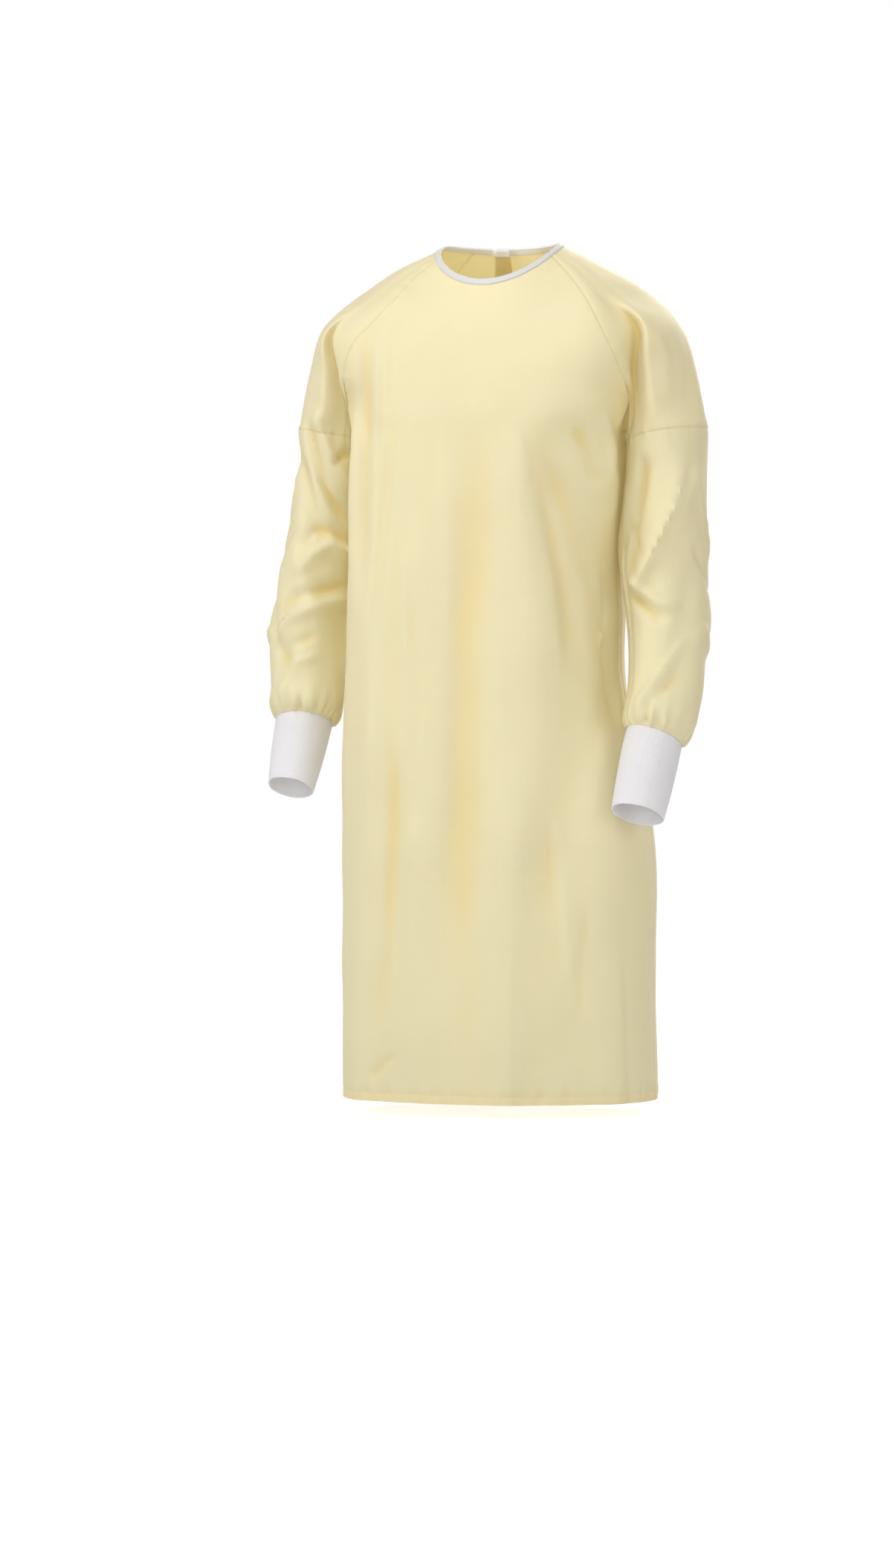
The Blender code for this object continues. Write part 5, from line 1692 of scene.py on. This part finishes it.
@functools.lru_cache(maxsize=2)
def thread_material(kind):
    """Sewing thread in the cloth's colour or white."""
    colours = bpy.context.scene.gown_colours
    plain = tuple(colours.thread) if kind == "cloth" else tuple(colours.binding)
    material, tree, shader, uneven = new_material("thread_" + kind)
    set_colour(tree, shader, plain, (uneven.outputs["Patches"], 0.92, 1.04))
    return material


@functools.lru_cache(maxsize=1)
def stud_material():
    """Moulded plastic of the press studs."""
    material, tree, shader, uneven = new_material("moulded_plastic")
    plain = tuple(bpy.context.scene.gown_colours.stud)
    set_colour(tree, shader, plain, (uneven.outputs["Patches"], 0.97, 1.02))
    raise_surface(tree, shader, (uneven.outputs["Crumple"], 0.1, 0.0003))
    return material


@functools.lru_cache(maxsize=1)
def floor_material():
    """Plain pale floor."""
    material, tree, shader, uneven = new_material("pale_floor")
    plain = tuple(bpy.context.scene.gown_colours.floor)
    set_colour(tree, shader, plain, (uneven.outputs["Patches"], 0.998, 1.0))
    seen = put(tree, "ShaderNodeLightPath").outputs["Is Camera Ray"]
    shader.inputs["Emission Strength"].default_value = FLOOR_GLOW
    tree.links.new(mix_colour(tree, seen, (0.0, 0.0, 0.0, 1.0), (1.0, 1.0, 1.0, 1.0)),
                   shader.inputs["Emission Color"])
    return material


def place_lights(scene):
    """Round soft lights, all turned to the gown's middle."""
    target = Vector((0.0, 0.0, LIGHT_TARGET))
    for name, place, size, power in LIGHTS:
        light = bpy.data.lights.new(name, "AREA")
        light.shape, light.size, light.energy = "DISK", size, power
        lamp = bpy.data.objects.new(name, light)
        scene.collection.objects.link(lamp)
        lamp.location = place
        lamp.rotation_euler = (target - Vector(place)).to_track_quat("-Z", "Y").to_euler()


def make_world(scene):
    """White all round as the camera sees it, and a fainter white as light."""
    world = bpy.data.worlds.new("studio")
    scene.world = world
    world.use_nodes = True
    tree = world.node_tree
    sky = tree.nodes["Background"]
    sky.inputs["Color"].default_value = (1.0, 1.0, 1.0, 1.0)
    sky.inputs["Strength"].default_value = WORLD_STRENGTH
    white = put(tree, "ShaderNodeBackground", None, {"Color": (1.0, 1.0, 1.0, 1.0), "Strength": 1.0})
    seen = put(tree, "ShaderNodeLightPath").outputs["Is Camera Ray"]
    choice = put(tree, "ShaderNodeMixShader", None, None, {0: seen, 1: sky.outputs[0], 2: white.outputs[0]})
    tree.links.new(choice.outputs[0], tree.nodes["World Output"].inputs["Surface"])


def place_camera(scene):
    """The photograph's camera, level and turned about the upright axis."""
    turn = math.radians(CAMERA_AZIMUTH)
    back = Vector((math.sin(turn), -math.cos(turn), 0.0))
    right = Vector((math.cos(turn), math.sin(turn), 0.0))
    camera = bpy.data.cameras.new("photograph_view")
    camera.lens, camera.sensor_width = CAMERA_LENS, SENSOR
    camera.clip_end = 50.0
    seat = bpy.data.objects.new("photograph_view", camera)
    scene.collection.objects.link(seat)
    seat.matrix_world = Matrix((right, Vector((0.0, 0.0, 1.0)), back)).transposed().to_4x4()
    seat.location = Vector((0.0, 0.0, CAMERA_HEIGHT)) + back * CAMERA_DISTANCE + right * CAMERA_ASIDE
    scene.camera = seat


def build_stage():
    """Pale floor, soft lights and the photograph's camera."""
    scene = bpy.context.scene
    half = FLOOR_SIZE / 2
    corners = np.array([(-half, -half, 0), (half, -half, 0), (half, half, 0), (-half, half, 0)]) / MM
    floor = make_object("floor", corners + np.array([0, 0, FLOOR_HEIGHT / MM]), [[0, 1, 2, 3]], None, None,
                        floor_material())
    place_lights(scene)
    make_world(scene)
    scene.view_settings.view_transform = "Standard"
    place_camera(scene)


class GOWN_OT_panels(bpy.types.Operator):
    """Build the front, back and sleeve panels."""

    bl_idname = "gown.panels"
    bl_label = "Panels"

    def execute(self, context):
        build_panels()
        return {"FINISHED"}


class GOWN_OT_cuffs(bpy.types.Operator):
    """Build the knit cuffs."""

    bl_idname = "gown.cuffs"
    bl_label = "Cuffs"

    def execute(self, context):
        build_cuffs()
        return {"FINISHED"}


class GOWN_OT_binding(bpy.types.Operator):
    """Build the binding of the neck."""

    bl_idname = "gown.binding"
    bl_label = "Neck binding"

    def execute(self, context):
        build_binding()
        return {"FINISHED"}


class GOWN_OT_studs(bpy.types.Operator):
    """Build the press studs of the back opening."""

    bl_idname = "gown.studs"
    bl_label = "Press studs"

    def execute(self, context):
        build_studs()
        return {"FINISHED"}


class GOWN_OT_stitches(bpy.types.Operator):
    """Build the rows of stitches."""

    bl_idname = "gown.stitches"
    bl_label = "Stitches"

    def execute(self, context):
        build_stitches()
        return {"FINISHED"}


class GOWN_OT_stage(bpy.types.Operator):
    """Build the floor, the lights and the camera."""

    bl_idname = "gown.stage"
    bl_label = "Stage"

    def execute(self, context):
        build_stage()
        return {"FINISHED"}


STEPS = (GOWN_OT_panels, GOWN_OT_cuffs, GOWN_OT_binding, GOWN_OT_studs, GOWN_OT_stitches, GOWN_OT_stage)


class GOWN_PT_sidebar(bpy.types.Panel):
    """Sizes, colours and building steps of the gown."""

    bl_label = "Isolation gown"
    bl_idname = "GOWN_PT_sidebar"
    bl_space_type = "VIEW_3D"
    bl_region_type = "UI"
    bl_category = "Gown"

    def draw(self, context):
        layout = self.layout
        for group in (context.scene.gown_sizes, context.scene.gown_colours):
            box = layout.box()
            for name in group.__annotations__:
                box.prop(group, name)
        for step in STEPS:
            layout.operator(step.bl_idname)


CLASSES = (GownSizes, GownColours) + STEPS + (GOWN_PT_sidebar,)


def register():
    """Add the classes and the scene's sizes and colours."""
    for item in CLASSES:
        bpy.utils.register_class(item)
    bpy.types.Scene.gown_sizes = bpy.props.PointerProperty(type=GownSizes)
    bpy.types.Scene.gown_colours = bpy.props.PointerProperty(type=GownColours)


def unregister():
    """Take the classes and the scene's sizes and colours away again."""
    del bpy.types.Scene.gown_sizes
    del bpy.types.Scene.gown_colours
    for item in reversed(CLASSES):
        bpy.utils.unregister_class(item)


def main():
    """Build every piece and the stage."""
    register()
    bpy.ops.gown.panels()
    bpy.ops.gown.cuffs()
    bpy.ops.gown.binding()
    bpy.ops.gown.studs()
    bpy.ops.gown.stitches()
    bpy.ops.gown.stage()


if __name__ == "__main__":
    main()
